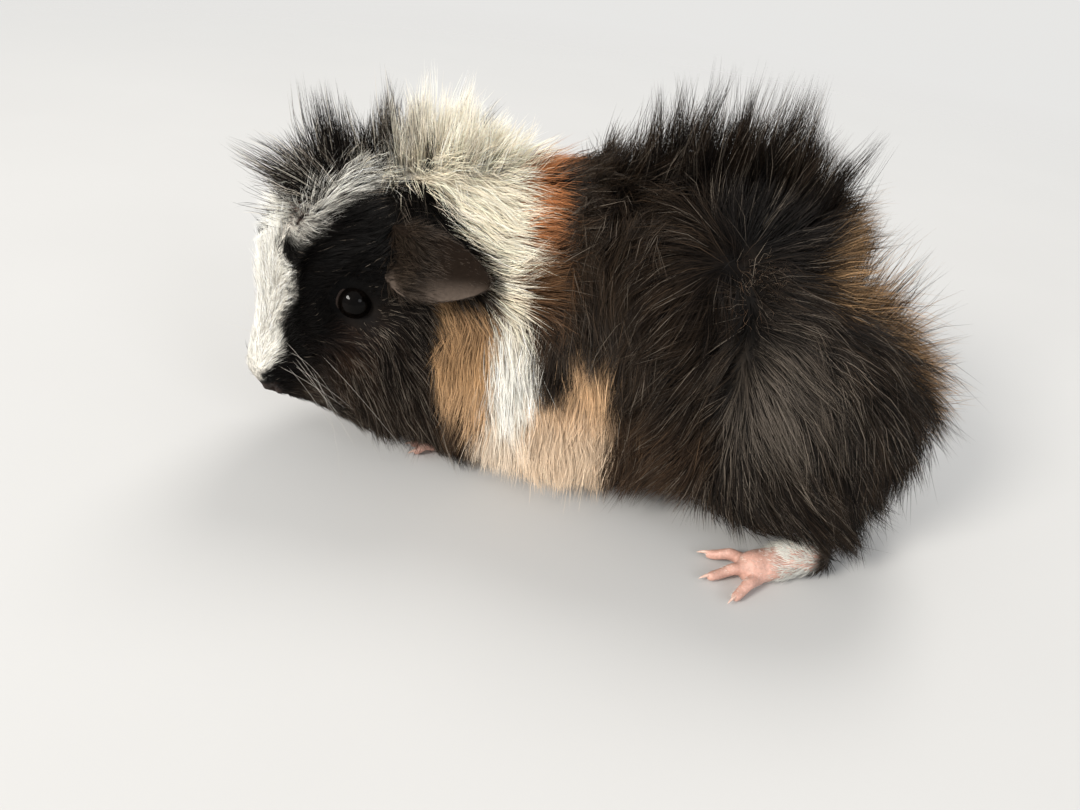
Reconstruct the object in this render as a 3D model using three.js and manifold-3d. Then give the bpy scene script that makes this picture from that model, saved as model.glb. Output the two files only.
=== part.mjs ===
// A young rosetted guinea pig, standing on all four feet with its head turned to its left.
// Millimetres, +Z up. The animal faces -X, its left side is -Y, and the soles rest on Z = 0.
// Each solid is the outer form of the coat: one blended body form is parted into head, neck,
// trunk and legs by thin cuts, and the feet, claws, ears, eyes and standing crests join it.
import * as THREE from "three";
import { mergeVertices } from "three/addons/utils/BufferGeometryUtils.js";
import Module from "manifold-3d";

const wasm = await Module();
wasm.setup();

// ---- driving sizes -------------------------------------------------------------------------
const GAP = 0.35; // clear space between neighbouring solids
const CREST_CLEAR = 0.7; // space under a crest, over the true form
const FOOT_CLEAR = 1.3; // space around a foot inside the coat of its leg
const BODY_CELL = 9; // facet size on the trunk and legs
const HEAD_CELL = 5; // facet size on the head
const FOOT_CELL = 3; // facet size on the feet

const BACK_TOP = 92; // height of the back over the loin
const BELLY = 6; // height of the belly's coat over the ground
const HALF_WIDTH = 37; // half the width of the barrel
const HAUNCH_OUT = 46; // how far a haunch reaches to the side

const HEAD = { at: [-79, -25, 51.5], yaw: 52, pitch: 37, roll: 0 }; // the point between the eyes
const NOSE_AHEAD = 35.5; // the nose tip lies this far ahead of the eyes
const NOSE_BELOW = 8.5;
const EYE_APART = 18.2; // each eye's centre from the middle of the head
const EYE_R = 4.65;
const EAR = { length: 29, width: 17, thick: 1.4, clear: 0.7 };

const FORE_FOOT = { x: -40, y: 20, length: 20 };
const HIND_FOOT = { x: 66, y: 33, length: 32 };

const COLOURS = {
  black: 0x1d1816,
  white: 0xece5da,
  skin: 0xd9a79b,
  ear: 0x2c2523,
  eye: 0x0a0807,
  claw: 0xdcc4b4,
};

// ---- fields: negative inside a form, about the distance to it outside --------------------------
const vec = (a) => new THREE.Vector3(...a);
const turned = (turn) =>
  new THREE.Quaternion().setFromEuler(new THREE.Euler(...turn.map(THREE.MathUtils.degToRad)));

/** An ellipsoid with its centre, half sizes and turn in degrees about X, Y and Z. */
function ball(centre, radii, turn = [0, 0, 0]) {
  const back = turned(turn).invert();
  const c = vec(centre);
  const least = Math.min(...radii);
  const q = new THREE.Vector3();
  return (p) => {
    q.copy(p).sub(c).applyQuaternion(back);
    const unit = Math.hypot(q.x / radii[0], q.y / radii[1], q.z / radii[2]);
    return (unit - 1) * least;
  };
}

/** A limb with round ends, which tapers from radius r0 to radius r1. */
function limb(from, to, r0, r1) {
  const a = vec(from);
  const run = vec(to).sub(a);
  const q = new THREE.Vector3();
  return (p) => {
    q.copy(p).sub(a);
    const t = THREE.MathUtils.clamp(q.dot(run) / run.lengthSq(), 0, 1);
    return q.addScaledVector(run, -t).length() - THREE.MathUtils.lerp(r0, r1, t);
  };
}

/** Joins fields with a fillet of about size k. */
function blend(k, ...fields) {
  return (p) =>
    fields.reduce((sum, f) => {
      const d = f(p);
      const h = Math.max(k - Math.abs(sum - d), 0) / k;
      return Math.min(sum, d) - (h * h * k) / 4;
    }, 1e3);
}

/** The same field made once for each side: +1 is the animal's right, -1 its left. */
const bothSides = (make) => [make(-1), make(1)];

// ---- solids ------------------------------------------------------------------------------------
/** A three.js geometry as a solid. */
function solid(geometry) {
  const bare = geometry.clone();
  bare.deleteAttribute("normal");
  bare.deleteAttribute("uv");
  const merged = mergeVertices(bare, 1e-4);
  return new wasm.Manifold(
    new wasm.Mesh({
      numProp: 3,
      vertProperties: new Float32Array(merged.attributes.position.array),
      triVerts: new Uint32Array(merged.index.array),
    }),
  );
}

/** A solid as a three.js geometry. */
function geometryOf(made) {
  const mesh = made.getMesh();
  const flat = new Float32Array(mesh.numVert * 3);
  for (let i = 0; i < mesh.numVert; i++) {
    flat.set(mesh.vertProperties.subarray(i * mesh.numProp, i * mesh.numProp + 3), i * 3);
  }
  const geometry = new THREE.BufferGeometry();
  geometry.setAttribute("position", new THREE.BufferAttribute(flat, 3));
  geometry.setIndex(new THREE.BufferAttribute(new Uint32Array(mesh.triVerts), 1));
  return geometry;
}

/** The solid grown by d, each vertex along its normal. */
function grown(made, d = GAP) {
  const geometry = geometryOf(made);
  geometry.computeVertexNormals();
  const place = geometry.attributes.position;
  const normal = geometry.attributes.normal;
  for (let i = 0; i < place.count; i++) {
    place.setXYZ(
      i,
      place.getX(i) + normal.getX(i) * d,
      place.getY(i) + normal.getY(i) * d,
      place.getZ(i) + normal.getZ(i) * d,
    );
  }
  return solid(geometry);
}

/** Moves p onto the surface of a field by short steps along its slope. */
function settle(field, p, most) {
  const h = 0.05;
  const start = p.clone();
  for (let step = 0; step < 3; step++) {
    const d = field(p);
    const slope = new THREE.Vector3(
      field(p.clone().add(vec([h, 0, 0]))) - d,
      field(p.clone().add(vec([0, h, 0]))) - d,
      field(p.clone().add(vec([0, 0, h]))) - d,
    ).divideScalar(h);
    p.addScaledVector(slope, -d / Math.max(slope.lengthSq(), 0.05));
  }
  return p.sub(start).clampLength(0, most).add(start);
}

/** The direction in which a field grows at a point. */
function slopeOf(field, p) {
  const h = 0.2;
  const at = (x, y, z) => field(p.clone().add(vec([x, y, z])));
  return vec([at(h, 0, 0) - at(-h, 0, 0), at(0, h, 0) - at(0, -h, 0), at(0, 0, h) - at(0, 0, -h)])
    .normalize();
}

/** The surface of a field inside a box as a solid: one point in each grid cell that it crosses. */
function wrap(field, low, high, cell) {
  const n = low.map((v, i) => Math.ceil((high[i] - v) / cell) + 1);
  const at = (i, j, k) => i + n[0] * (j + n[1] * k);
  const spot = (i, j, k) => new THREE.Vector3(low[0] + i * cell, low[1] + j * cell, low[2] + k * cell);
  const value = new Float32Array(n[0] * n[1] * n[2]);
  const inner = (i, j, k) => [i, j, k].every((v, a) => v > 0 && v < n[a] - 1);
  for (let k = 0; k < n[2]; k++)
    for (let j = 0; j < n[1]; j++)
      for (let i = 0; i < n[0]; i++) {
        value[at(i, j, k)] = inner(i, j, k) ? field(spot(i, j, k)) : cell;
      }

  const corners = [0, 1, 2, 3, 4, 5, 6, 7].map((c) => [c & 1, (c >> 1) & 1, c >> 2]);
  const edges = [];
  for (let a = 0; a < 8; a++) {
    for (let axis = 0; axis < 3; axis++) {
      if (!corners[a][axis]) edges.push([a, a + (1 << axis)]);
    }
  }
  const points = [];
  const pointOf = new Int32Array(value.length).fill(-1);
  for (let k = 0; k < n[2] - 1; k++)
    for (let j = 0; j < n[1] - 1; j++)
      for (let i = 0; i < n[0] - 1; i++) {
        const v = corners.map(([a, b, c]) => value[at(i + a, j + b, k + c)]);
        const mean = new THREE.Vector3();
        let crossings = 0;
        for (const [a, b] of edges) {
          if (v[a] < 0 === v[b] < 0) continue;
          mean.add(vec(corners[a]).lerp(vec(corners[b]), v[a] / (v[a] - v[b])));
          crossings++;
        }
        if (!crossings) continue;
        const p = mean.divideScalar(crossings).multiplyScalar(cell).add(spot(i, j, k));
        pointOf[at(i, j, k)] = points.length / 3;
        points.push(...settle(field, p, cell / 2).toArray());
      }

  const faces = [];
  const steps = [[1, 0, 0], [0, 1, 0], [0, 0, 1]];
  for (let k = 0; k < n[2] - 1; k++)
    for (let j = 0; j < n[1] - 1; j++)
      for (let i = 0; i < n[0] - 1; i++) {
        const inside = value[at(i, j, k)] < 0;
        steps.forEach((s, axis) => {
          if (value[at(i + s[0], j + s[1], k + s[2])] < 0 === inside) return;
          const b = steps[(axis + 1) % 3];
          const c = steps[(axis + 2) % 3];
          const ring = [[0, 0], [1, 0], [1, 1], [0, 1]].map(([u, w]) =>
            pointOf[at(i - u * b[0] - w * c[0], j - u * b[1] - w * c[1], k - u * b[2] - w * c[2])],
          );
          if (!inside) ring.reverse();
          faces.push(ring[0], ring[1], ring[2], ring[0], ring[2], ring[3]);
        });
      }
  const geometry = new THREE.BufferGeometry();
  geometry.setAttribute("position", new THREE.Float32BufferAttribute(points, 3));
  geometry.setIndex(faces);
  return solid(geometry);
}

/** An ellipsoid solid, used to bound a region of the body. */
function lobe(centre, radii, turn = [0, 0, 0], fine = 24) {
  const geometry = new THREE.SphereGeometry(1, fine, fine / 2);
  geometry.applyMatrix4(
    new THREE.Matrix4().compose(vec(centre), turned(turn), vec(radii)),
  );
  return solid(geometry);
}

/** A large block whose flat face passes through a point and looks along -normal; it lies ahead. */
function ahead(point, normal) {
  const size = 400;
  const geometry = new THREE.BoxGeometry(size, size, size);
  geometry.translate(size / 2, 0, 0);
  const turn = new THREE.Quaternion().setFromUnitVectors(vec([1, 0, 0]), vec(normal).normalize());
  geometry.applyMatrix4(new THREE.Matrix4().compose(vec(point), turn, vec([1, 1, 1])));
  return solid(geometry);
}

const without = (made, ...others) => others.reduce((sum, s) => sum.subtract(grown(s)), made);

// ---- the head's own frame: ahead, left and up from the point between the eyes -------------------
const headTurn = new THREE.Matrix4().makeRotationFromEuler(
  new THREE.Euler(
    THREE.MathUtils.degToRad(HEAD.roll),
    THREE.MathUtils.degToRad(HEAD.pitch),
    THREE.MathUtils.degToRad(180 + HEAD.yaw),
    "ZYX",
  ),
);
const headFrame = new THREE.Matrix4().makeTranslation(...HEAD.at).multiply(headTurn);
const headBack = headFrame.clone().invert();
/** A point of the head's frame, where side is + on the animal's left, in the body's frame. */
const onHead = (forward, side, up) => new THREE.Vector3(forward, side, up).applyMatrix4(headFrame);
/** A field written in the head's frame, read in the body's frame. */
function inHead(field) {
  const q = new THREE.Vector3();
  return (p) => field(q.copy(p).applyMatrix4(headBack));
}

// ---- the body's one blended form ----------------------------------------------------------------
const barrelMid = (BACK_TOP + BELLY) / 2;
const barrelHalf = (BACK_TOP - BELLY) / 2;

const trunkForm = blend(
  14,
  ball([-20, -1, barrelMid - 2], [38, HALF_WIDTH - 4, barrelHalf - 3]),
  ball([12, 0, barrelMid], [46, HALF_WIDTH, barrelHalf]),
  ball([46, 0, barrelMid - 5], [43.5, HALF_WIDTH - 1, barrelHalf - 1], [0, 12, 0]),
);
const upperFlanks = bothSides((side) => ball([34, side * 12, barrelMid + 6], [44, 23, 33], [0, 8, 0]));
const hems = bothSides((side) =>
  blend(
    6,
    limb([-40, side * 17, 18.5], [-14, side * 23, 17], 14.5, 13.5),
    limb([-14, side * 23, 17], [30, side * 23, 20], 13.5, 11.5),
  ),
);
const haunches = bothSides((side) =>
  blend(
    10,
    ball([54, side * (HAUNCH_OUT - 19), 38], [31, 19, 31], [0, 18, 0]),
    limb([46, side * 30, 21.5], [HIND_FOOT.x - 2, side * (HIND_FOOT.y - 2), 17], 13, 8.5),
  ),
);
const shoulders = bothSides((side) =>
  blend(
    8,
    ball([-32, side * 21, 38], [21, 15, 28], [0, -12, 0]),
    limb([-36, side * 20, 20], [FORE_FOOT.x + 4, side * FORE_FOOT.y, 9], 12, 7.5),
  ),
);
const neckForm = blend(
  14,
  ball([-48, -6, 57], [28, 28, 31]),
  limb([-56, -9, 58], [-70, -20, 53], 26, 22),
  ball([-65, -23, 28], [18, 19, 22]),
  ball([-52, -10, 28], [16, 20, 23]),
);
const headForm = inHead(
  blend(
    8,
    ball([-11, 0, 2], [26, 20, 21.5]),
    limb([7, 0, -1], [NOSE_AHEAD - 9, 0, -NOSE_BELOW], 13, 8.4),
    ball([-3, 9.5, -15], [21, 13.5, 17]),
    ball([-3, -9.5, -15], [21, 13.5, 17]),
    ball([20.5, 0, -18.5], [11.5, 9, 8]),
  ),
);
const bodyForm = blend(9, trunkForm, ...upperFlanks, ...hems, ...haunches, ...shoulders, neckForm, headForm);

// ---- eyes and ears --------------------------------------------------------------------------------
function eye(side) {
  const centre = onHead(1.2, side * EYE_APART, 0.8);
  return lobe(centre.toArray(), [EYE_R, EYE_R, EYE_R], [0, 0, 0], 12);
}

/** An ear as a thin, cupped petal that grows from the side of the crown and rests on the coat. */
function ear(side, tipward) {
  const along = 9;
  const across = 6;
  const points = [];
  const root = settle(bodyForm, onHead(-15, side * 18.5, 3), 6);
  const heading = onHead(...tipward).sub(onHead(0, 0, 0)).normalize();
  const spread = heading.clone().cross(slopeOf(bodyForm, root)).normalize();
  if (spread.z > 0) spread.negate();
  for (let i = 0; i <= along; i++) {
    const s = Math.min(i / along, 0.985);
    const half = (EAR.width / 2) * Math.pow(Math.sin(Math.PI * (0.16 + 0.84 * s)), 0.6);
    for (const layer of [0, 1]) {
      for (let j = 0; j <= across; j++) {
        const t = (2 * j) / across - 1;
        const p = root
          .clone()
          .addScaledVector(heading, EAR.length * s)
          .addScaledVector(spread, half * t);
        const clear = EAR.clear + 2.4 * (1 - s) * t * t + layer * EAR.thick;
        points.push(settle((q) => bodyForm(q) - clear, p, 14));
      }
    }
  }
  return sheet(points, along, across);
}

/** Two layers of points, row by row, closed into one thin solid. */
function sheet(points, along, across) {
  const faces = [];
  const at = (i, layer, j) => (2 * i + layer) * (across + 1) + j;
  const quad = (a, b, c, d) => faces.push(a, b, c, a, c, d);
  for (let i = 0; i < along; i++) {
    for (let j = 0; j < across; j++) {
      quad(at(i, 1, j), at(i + 1, 1, j), at(i + 1, 1, j + 1), at(i, 1, j + 1));
      quad(at(i, 0, j), at(i, 0, j + 1), at(i + 1, 0, j + 1), at(i + 1, 0, j));
    }
    quad(at(i, 0, 0), at(i + 1, 0, 0), at(i + 1, 1, 0), at(i, 1, 0));
    quad(at(i, 1, across), at(i + 1, 1, across), at(i + 1, 0, across), at(i, 0, across));
  }
  for (let j = 0; j < across; j++) {
    quad(at(0, 0, j), at(0, 1, j), at(0, 1, j + 1), at(0, 0, j + 1));
    quad(at(along, 0, j), at(along, 0, j + 1), at(along, 1, j + 1), at(along, 1, j));
  }
  return facingOut(points, faces);
}

/** A closed surface as a solid, whichever way round its faces were written. */
function facingOut(points, faces) {
  const geometry = new THREE.BufferGeometry();
  geometry.setAttribute(
    "position",
    new THREE.Float32BufferAttribute(points.flatMap((p) => p.toArray()), 3),
  );
  geometry.setIndex(faces);
  const made = solid(geometry);
  return made.volume() < 0 ? solid(flipped(geometry)) : made;
}

/** The geometry with its faces turned round. */
function flipped(geometry) {
  const index = geometry.index.array;
  for (let i = 0; i < index.length; i += 3) [index[i + 1], index[i + 2]] = [index[i + 2], index[i + 1]];
  return geometry;
}

// ---- feet and claws -------------------------------------------------------------------------------
/** A foot's form, with its toes fanned ahead of its ball, and one claw for each toe. */
function foot({ heel, heading, length, width, height, toes, toeReach, toeR, clawLength }) {
  const forward = vec([Math.cos(heading), Math.sin(heading), 0]);
  const across = vec([-Math.sin(heading), Math.cos(heading), 0]);
  const place = (f, a, up) => vec(heel).addScaledVector(forward, f).addScaledVector(across, a).setZ(up);
  const ball0 = length * 0.62;
  const forms = [
    limb(place(1, 0, height + 1).toArray(), place(ball0 * 0.55, 0, height).toArray(), height, width * 0.4),
    limb(
      place(ball0 * 0.5, 0, height - 0.5).toArray(),
      place(ball0, 0, height * 0.72).toArray(),
      width * 0.4,
      width * 0.46,
    ),
  ];
  const claws = [];
  toes.forEach((fan, i) => {
    const spread = (i - (toes.length - 1) / 2) * (width / toes.length) * 0.85;
    const reach = toeReach * (1 - 0.16 * Math.abs(fan));
    const angle = fan * 0.42;
    const dir = forward.clone().multiplyScalar(Math.cos(angle)).addScaledVector(across, Math.sin(angle));
    const knuckle = place(ball0, spread, toeR + 0.5);
    const middle = knuckle.clone().addScaledVector(dir, reach * 0.55).setZ(toeR + 1.5);
    const tip = knuckle.clone().addScaledVector(dir, reach).setZ(toeR - 0.1);
    forms.push(limb(knuckle.toArray(), middle.toArray(), toeR * 1.15, toeR));
    forms.push(limb(middle.toArray(), tip.toArray(), toeR, toeR * 0.86));
    claws.push(claw(tip, dir, toeR * 0.55, clawLength));
  });
  return { form: blend(1.6, ...forms), claws, place };
}

/** A claw that leaves its toe, arches and comes down to the ground. */
function claw(tip, dir, radius, length) {
  const rings = 4;
  const sides = 5;
  const arc = 0.62;
  const across = dir.clone().cross(vec([0, 0, 1])).normalize();
  const points = [];
  const faces = [];
  for (let i = 0; i <= rings; i++) {
    const s = i / rings;
    const lean = 0.25 - arc * s;
    const centre = tip
      .clone()
      .addScaledVector(dir, -0.8 + length * s)
      .add(vec([0, 0, 0.35 + length * (0.28 * s - 0.42 * s * s)]));
    centre.z = Math.max(centre.z, 0.35);
    const up = vec([0, 0, Math.cos(lean)]).addScaledVector(dir, -Math.sin(lean));
    const r = radius * Math.pow(1 - s, 0.75) + 0.06;
    for (let j = 0; j < sides; j++) {
      const a = (2 * Math.PI * j) / sides;
      points.push(
        centre
          .clone()
          .addScaledVector(across, 0.85 * r * Math.cos(a))
          .addScaledVector(up, r * Math.sin(a)),
      );
    }
  }
  for (let i = 0; i < rings; i++) {
    for (let j = 0; j < sides; j++) {
      const a = i * sides + j;
      const b = i * sides + ((j + 1) % sides);
      faces.push(a, b, b + sides, a, b + sides, a + sides);
    }
  }
  for (let j = 1; j < sides - 1; j++) {
    faces.push(0, j + 1, j);
    faces.push(rings * sides, rings * sides + j, rings * sides + j + 1);
  }
  return facingOut(points, faces);
}

const floorCut = (made) => made.subtract(ahead([0, 0, 0], [0, 0, -1]));

const hindFoot = (side) =>
  foot({
    heel: [HIND_FOOT.x, side * HIND_FOOT.y, 0],
    heading: Math.PI - side * 0.52,
    length: HIND_FOOT.length,
    width: 11.5,
    height: 4.6,
    toes: [-1.15, 0, 1.15],
    toeReach: 9,
    toeR: 2.3,
    clawLength: 6.5,
  });
const foreFoot = (side) =>
  foot({
    heel: [FORE_FOOT.x + 5, side * (FORE_FOOT.y - 1), 0],
    heading: Math.PI - side * 0.2,
    length: FORE_FOOT.length,
    width: 9.5,
    height: 4,
    toes: [-1.3, -0.45, 0.45, 1.3],
    toeReach: 6.5,
    toeR: 1.8,
    clawLength: 4,
  });

// ---- crests of standing hair ----------------------------------------------------------------------
/** A strip of peaked tufts that stands on the body along a line; height and lean run with it. */
function crest({ line, width, along, across, ends, height, lean }) {
  const path = new THREE.CatmullRomCurve3(line);
  const points = [];
  for (let i = 0; i <= along; i++) {
    const s = i / along;
    const middle = settle(bodyForm, path.getPoint(s), 14);
    const sideways = path.getTangent(s).cross(slopeOf(bodyForm, middle)).normalize();
    const bases = [];
    for (let j = 0; j <= across; j++) {
      const t = (2 * j) / across - 1;
      const half = (width / 2) * (1 - 0.45 * Math.pow(2 * s - 1, 4));
      const start = middle.clone().addScaledVector(sideways, t * half);
      bases.push(settle((q) => bodyForm(q) - CREST_CLEAR, start, 14));
    }
    points.push(...bases);
    bases.forEach((base, j) => {
      const t = (2 * j) / across - 1;
      const end = i === 0 ? ends[0] : i === along ? ends[1] : 1;
      const edge = j === 0 || j === across ? 0.12 : 1;
      const share = Math.min(end, edge) * ((i + j) % 2 ? 1 : 0.5) * (1 - 0.35 * t * t);
      const dir = slopeOf(bodyForm, base)
        .addScaledVector(lean[0].clone().lerp(lean[1], s), 0.9)
        .addScaledVector(sideways, 0.3 * t)
        .normalize();
      const uneven = 1 + 0.1 * Math.sin(5 * i + 3 * j);
      points.push(base.clone().addScaledVector(dir, height(s) * share * uneven));
    });
  }
  return sheet(points, along, across);
}

const crown = onHead(-28, -2, 21);
const crownFace = onHead(1, 0, 0).sub(onHead(0, 0, 0));
const crownSpace = (extra) =>
  ahead(crown.clone().addScaledVector(crownFace, -extra).toArray(), crownFace.toArray());
const crests = {
  crest_forehead: crest({
    line: [onHead(4, 0, 20), onHead(-6, 0, 24), onHead(-18, 0, 23), onHead(-29, -3, 21)],
    width: 24,
    along: 7,
    across: 6,
    ends: [0.2, 1],
    height: (s) => 16 + 8 * s,
    lean: [vec([-0.7, -0.2, 0.2]), vec([-0.1, 0, 0.9])],
  }).intersect(crownSpace(0)),
  crest_nape: crest({
    line: [onHead(-27, -2, 21), vec([-54, -10, 88]), vec([-42, -5, 88]), vec([-31, -2, 88])],
    width: 24,
    along: 7,
    across: 6,
    ends: [1, 0.2],
    height: (s) => 22 - 11 * s,
    lean: [vec([-0.1, 0, 0.9]), vec([0.5, 0, 0.7])],
  }).subtract(crownSpace(GAP)),
  crest_rump: crest({
    line: [vec([-14, 1, 92]), vec([8, 2, 92]), vec([28, 2, 91]), vec([48, 2, 87]), vec([66, 2, 77])],
    width: 24,
    along: 14,
    across: 6,
    ends: [0.2, 0.2],
    height: (s) => 5 + 17 * Math.sin(Math.PI * (0.14 + 0.82 * s)),
    lean: [vec([0.1, 0.1, 0.8]), vec([0.5, 0, 0.6])],
  }),
};

// ---- parting the body -----------------------------------------------------------------------------
const eyes = { left: eye(1), right: eye(-1) };
const ears = { left: ear(1, [-0.3, 0.88, -0.24]), right: ear(-1, [-0.75, -0.45, -0.3]) };

/** The space around the head, grown by extra. */
function headSpace(extra) {
  const geometry = new THREE.SphereGeometry(1, 18, 9);
  geometry.applyMatrix4(new THREE.Matrix4().makeScale(39 + extra, 32 + extra, 38 + extra));
  geometry.translate(0, 0, -6);
  geometry.applyMatrix4(headFrame);
  return solid(geometry);
}
const neckFace = vec([-1, -0.2, 0.12]).normalize();
const neckSpace = (extra) =>
  ahead(vec([-40, 0, 50]).addScaledVector(neckFace, -extra).toArray(), neckFace.toArray());
const legSpace = {
  fore: (side, extra) => lobe([-36, side * 24, 20], [20 + extra, 16 + extra, 30 + extra], [0, -8, 0], 14),
  hind: (side, extra) => lobe([52, side * 36, 30], [38 + extra, 22 + extra, 40 + extra], [0, 14, 0], 18),
};
/** The open cup in front of an eye. */
function socket(side) {
  const from = onHead(1.2, side * (EYE_APART + 0.3), 0.8);
  const out = onHead(4, side * (EYE_APART + 10), 3);
  const geometry = new THREE.CylinderGeometry(EYE_R * 1.8, EYE_R, from.distanceTo(out), 14, 1);
  geometry.translate(0, from.distanceTo(out) / 2, 0);
  const turn = new THREE.Quaternion().setFromUnitVectors(vec([0, 1, 0]), out.sub(from).normalize());
  geometry.applyMatrix4(new THREE.Matrix4().compose(from, turn, vec([1, 1, 1])));
  return solid(geometry);
}

const nostril = (side) =>
  lobe(onHead(NOSE_AHEAD - 0.6, side * 3.1, -NOSE_BELOW - 1.6).toArray(), [1.9, 1.3, 1.3], [0, 0, 0], 8);
const mouth = lobe(onHead(NOSE_AHEAD - 3.5, 0, -NOSE_BELOW - 9.5).toArray(), [5, 5, 0.7], [0, -30, 0], 10);

const fine = wrap(bodyForm, [-122, -76, 0], [-40, 20, 92], HEAD_CELL);
const coarse = wrap(bodyForm, [-125, -72, -4], [104, 60, 104], BODY_CELL);

const solids = {};
const legs = coarse.subtract(headSpace(GAP));
let torso = legs;
for (const [name, side] of [["left", -1], ["right", 1]]) {
  const kinds = [["fore", foreFoot(side), FORE_FOOT], ["hind", hindFoot(side), HIND_FOOT]];
  for (const [kind, made, at] of kinds) {
    const low = [at.x - 45, side * at.y - 28, -4];
    const high = [at.x + 14, side * at.y + 28, 20];
    const sole = floorCut(wrap(made.form, low, high, FOOT_CELL));
    const room = wrap((p) => made.form(p) - FOOT_CLEAR, low, high, 1.3 * FOOT_CELL);
    made.claws.forEach((c, i) => {
      solids[`claw_${kind}_${name}_${i + 1}`] = floorCut(c);
    });
    solids[`${kind}foot_${name}`] = without(sole, ...made.claws);
    solids[`${kind}leg_${name}`] = legs.intersect(legSpace[kind](side, 0)).subtract(room);
    torso = torso.subtract(legSpace[kind](side, GAP)).subtract(room);
  }
}
solids.head = [socket(1), socket(-1), nostril(1), nostril(-1), mouth].reduce(
  (rest, cut) => rest.subtract(cut),
  without(fine.intersect(headSpace(0)), ...Object.values(eyes), ...Object.values(ears)),
);
solids.neck = without(torso.intersect(neckSpace(0)), ...Object.values(ears));
solids.trunk = torso.subtract(neckSpace(GAP));
Object.assign(solids, crests, {
  eye_left: eyes.left,
  eye_right: eyes.right,
  ear_left: ears.left,
  ear_right: ears.right,
});

// ---- the model ------------------------------------------------------------------------------------
/** The first entry that a node's name starts with gives its colour and its roughness. */
const LOOKS = [
  ["claw", COLOURS.claw, 0.45],
  ["eye", COLOURS.eye, 0.08],
  ["ear", COLOURS.ear, 0.6],
  ["forefoot", COLOURS.skin, 0.7],
  ["hindfoot", COLOURS.skin, 0.7],
  ["foreleg", COLOURS.white, 0.85],
  ["neck", COLOURS.white, 0.85],
  ["crest_nape", COLOURS.white, 0.85],
  ["", COLOURS.black, 0.85],
];

const group = new THREE.Group();
group.name = "guinea_pig";
for (const [name, made] of Object.entries(solids)) {
  const [, color, roughness] = LOOKS.find(([start]) => name.startsWith(start));
  const material = new THREE.MeshStandardMaterial({ color, roughness, metalness: 0 });
  const mesh = new THREE.Mesh(geometryOf(made), material);
  mesh.name = name;
  group.add(mesh);
}
const middle = new THREE.Box3().setFromObject(group).getCenter(new THREE.Vector3());
group.children.forEach((mesh) => mesh.geometry.translate(-middle.x, -middle.y, 0));

export default group;
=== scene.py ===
"""Rosetted guinea pig: one skin under a coat of mesh tufts, with eyes, ears, feet, claws and whiskers.

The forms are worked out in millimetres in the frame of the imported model, for an animal
whose model is DESIGN_LENGTH long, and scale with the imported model.
"""
import math

import bmesh
import bpy
import numpy as np
from bpy.props import FloatProperty, FloatVectorProperty, IntProperty, PointerProperty
from mathutils import Matrix, Vector, kdtree
from mathutils.bvhtree import BVHTree


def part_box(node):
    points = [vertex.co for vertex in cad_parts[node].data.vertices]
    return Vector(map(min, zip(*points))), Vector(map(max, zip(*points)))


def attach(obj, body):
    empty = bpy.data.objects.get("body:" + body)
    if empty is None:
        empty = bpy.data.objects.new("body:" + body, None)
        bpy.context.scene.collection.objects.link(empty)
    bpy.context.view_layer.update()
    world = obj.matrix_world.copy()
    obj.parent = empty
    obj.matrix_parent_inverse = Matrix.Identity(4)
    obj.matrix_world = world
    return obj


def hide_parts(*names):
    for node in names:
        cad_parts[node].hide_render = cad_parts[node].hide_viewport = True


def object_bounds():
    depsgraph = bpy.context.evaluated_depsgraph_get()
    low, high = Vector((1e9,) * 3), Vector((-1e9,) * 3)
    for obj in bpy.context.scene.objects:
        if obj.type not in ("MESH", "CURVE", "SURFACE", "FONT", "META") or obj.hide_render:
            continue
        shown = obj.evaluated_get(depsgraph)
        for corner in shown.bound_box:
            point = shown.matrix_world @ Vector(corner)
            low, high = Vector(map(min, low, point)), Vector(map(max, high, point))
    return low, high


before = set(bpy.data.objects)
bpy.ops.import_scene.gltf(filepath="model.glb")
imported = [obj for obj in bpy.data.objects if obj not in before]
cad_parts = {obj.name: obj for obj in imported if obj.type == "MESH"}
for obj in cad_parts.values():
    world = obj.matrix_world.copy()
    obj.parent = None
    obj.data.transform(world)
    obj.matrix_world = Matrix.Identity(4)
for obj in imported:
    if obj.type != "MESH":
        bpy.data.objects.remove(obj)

bl_info = {
    "name": "Rosetted guinea pig",
    "version": (1, 0, 0),
    "blender": (4, 5, 0),
    "location": "3D View > Sidebar > Guinea pig",
    "description": "Dresses the packed guinea pig in skin, coat, eyes, claws and whiskers",
    "category": "Add Mesh",
}

CAD_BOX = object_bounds()
DESIGN_LENGTH = 192.905
UNIT = (CAD_BOX[1].x - CAD_BOX[0].x) / DESIGN_LENGTH  # metres in one millimetre of the design

FLESH = ("head", "neck", "trunk", "foreleg_left", "foreleg_right", "hindleg_left", "hindleg_right")
FEET = ("forefoot_left", "forefoot_right", "hindfoot_left", "hindfoot_right")
EARS = ("ear_left", "ear_right")

HEAD_PITCH = 37.0  # degrees that the muzzle points down
EYE_AHEAD, EYE_ABOVE = 1.2, 0.8  # the eyes' middle, from the head's own origin
EYE_DEPTH = 0.2  # how far the eyeball sits behind the middle of its node
EYE_OPENING = 80.0  # degrees from the look to the edge of the lids

FUSE = 0.5  # growth of the flesh nodes before they are fused into one skin
LIMB_CELL = 0.42  # size of the mesh cells of feet and ears
SKIN_LOWEST = 0.6  # height below which the body's skin doesn't reach
ROOT_SUNK = 0.4  # depth of a tuft's root in the skin
SOFT_SHADE = 1.4  # weight of the surface's own normal in the shading of a tuft
BAKE_PATCH = 0.003  # size of a tuft's patch on the unwrap
HIND_CLAW, FORE_CLAW = 4.4, 3.6  # lengths of the claws

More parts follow.
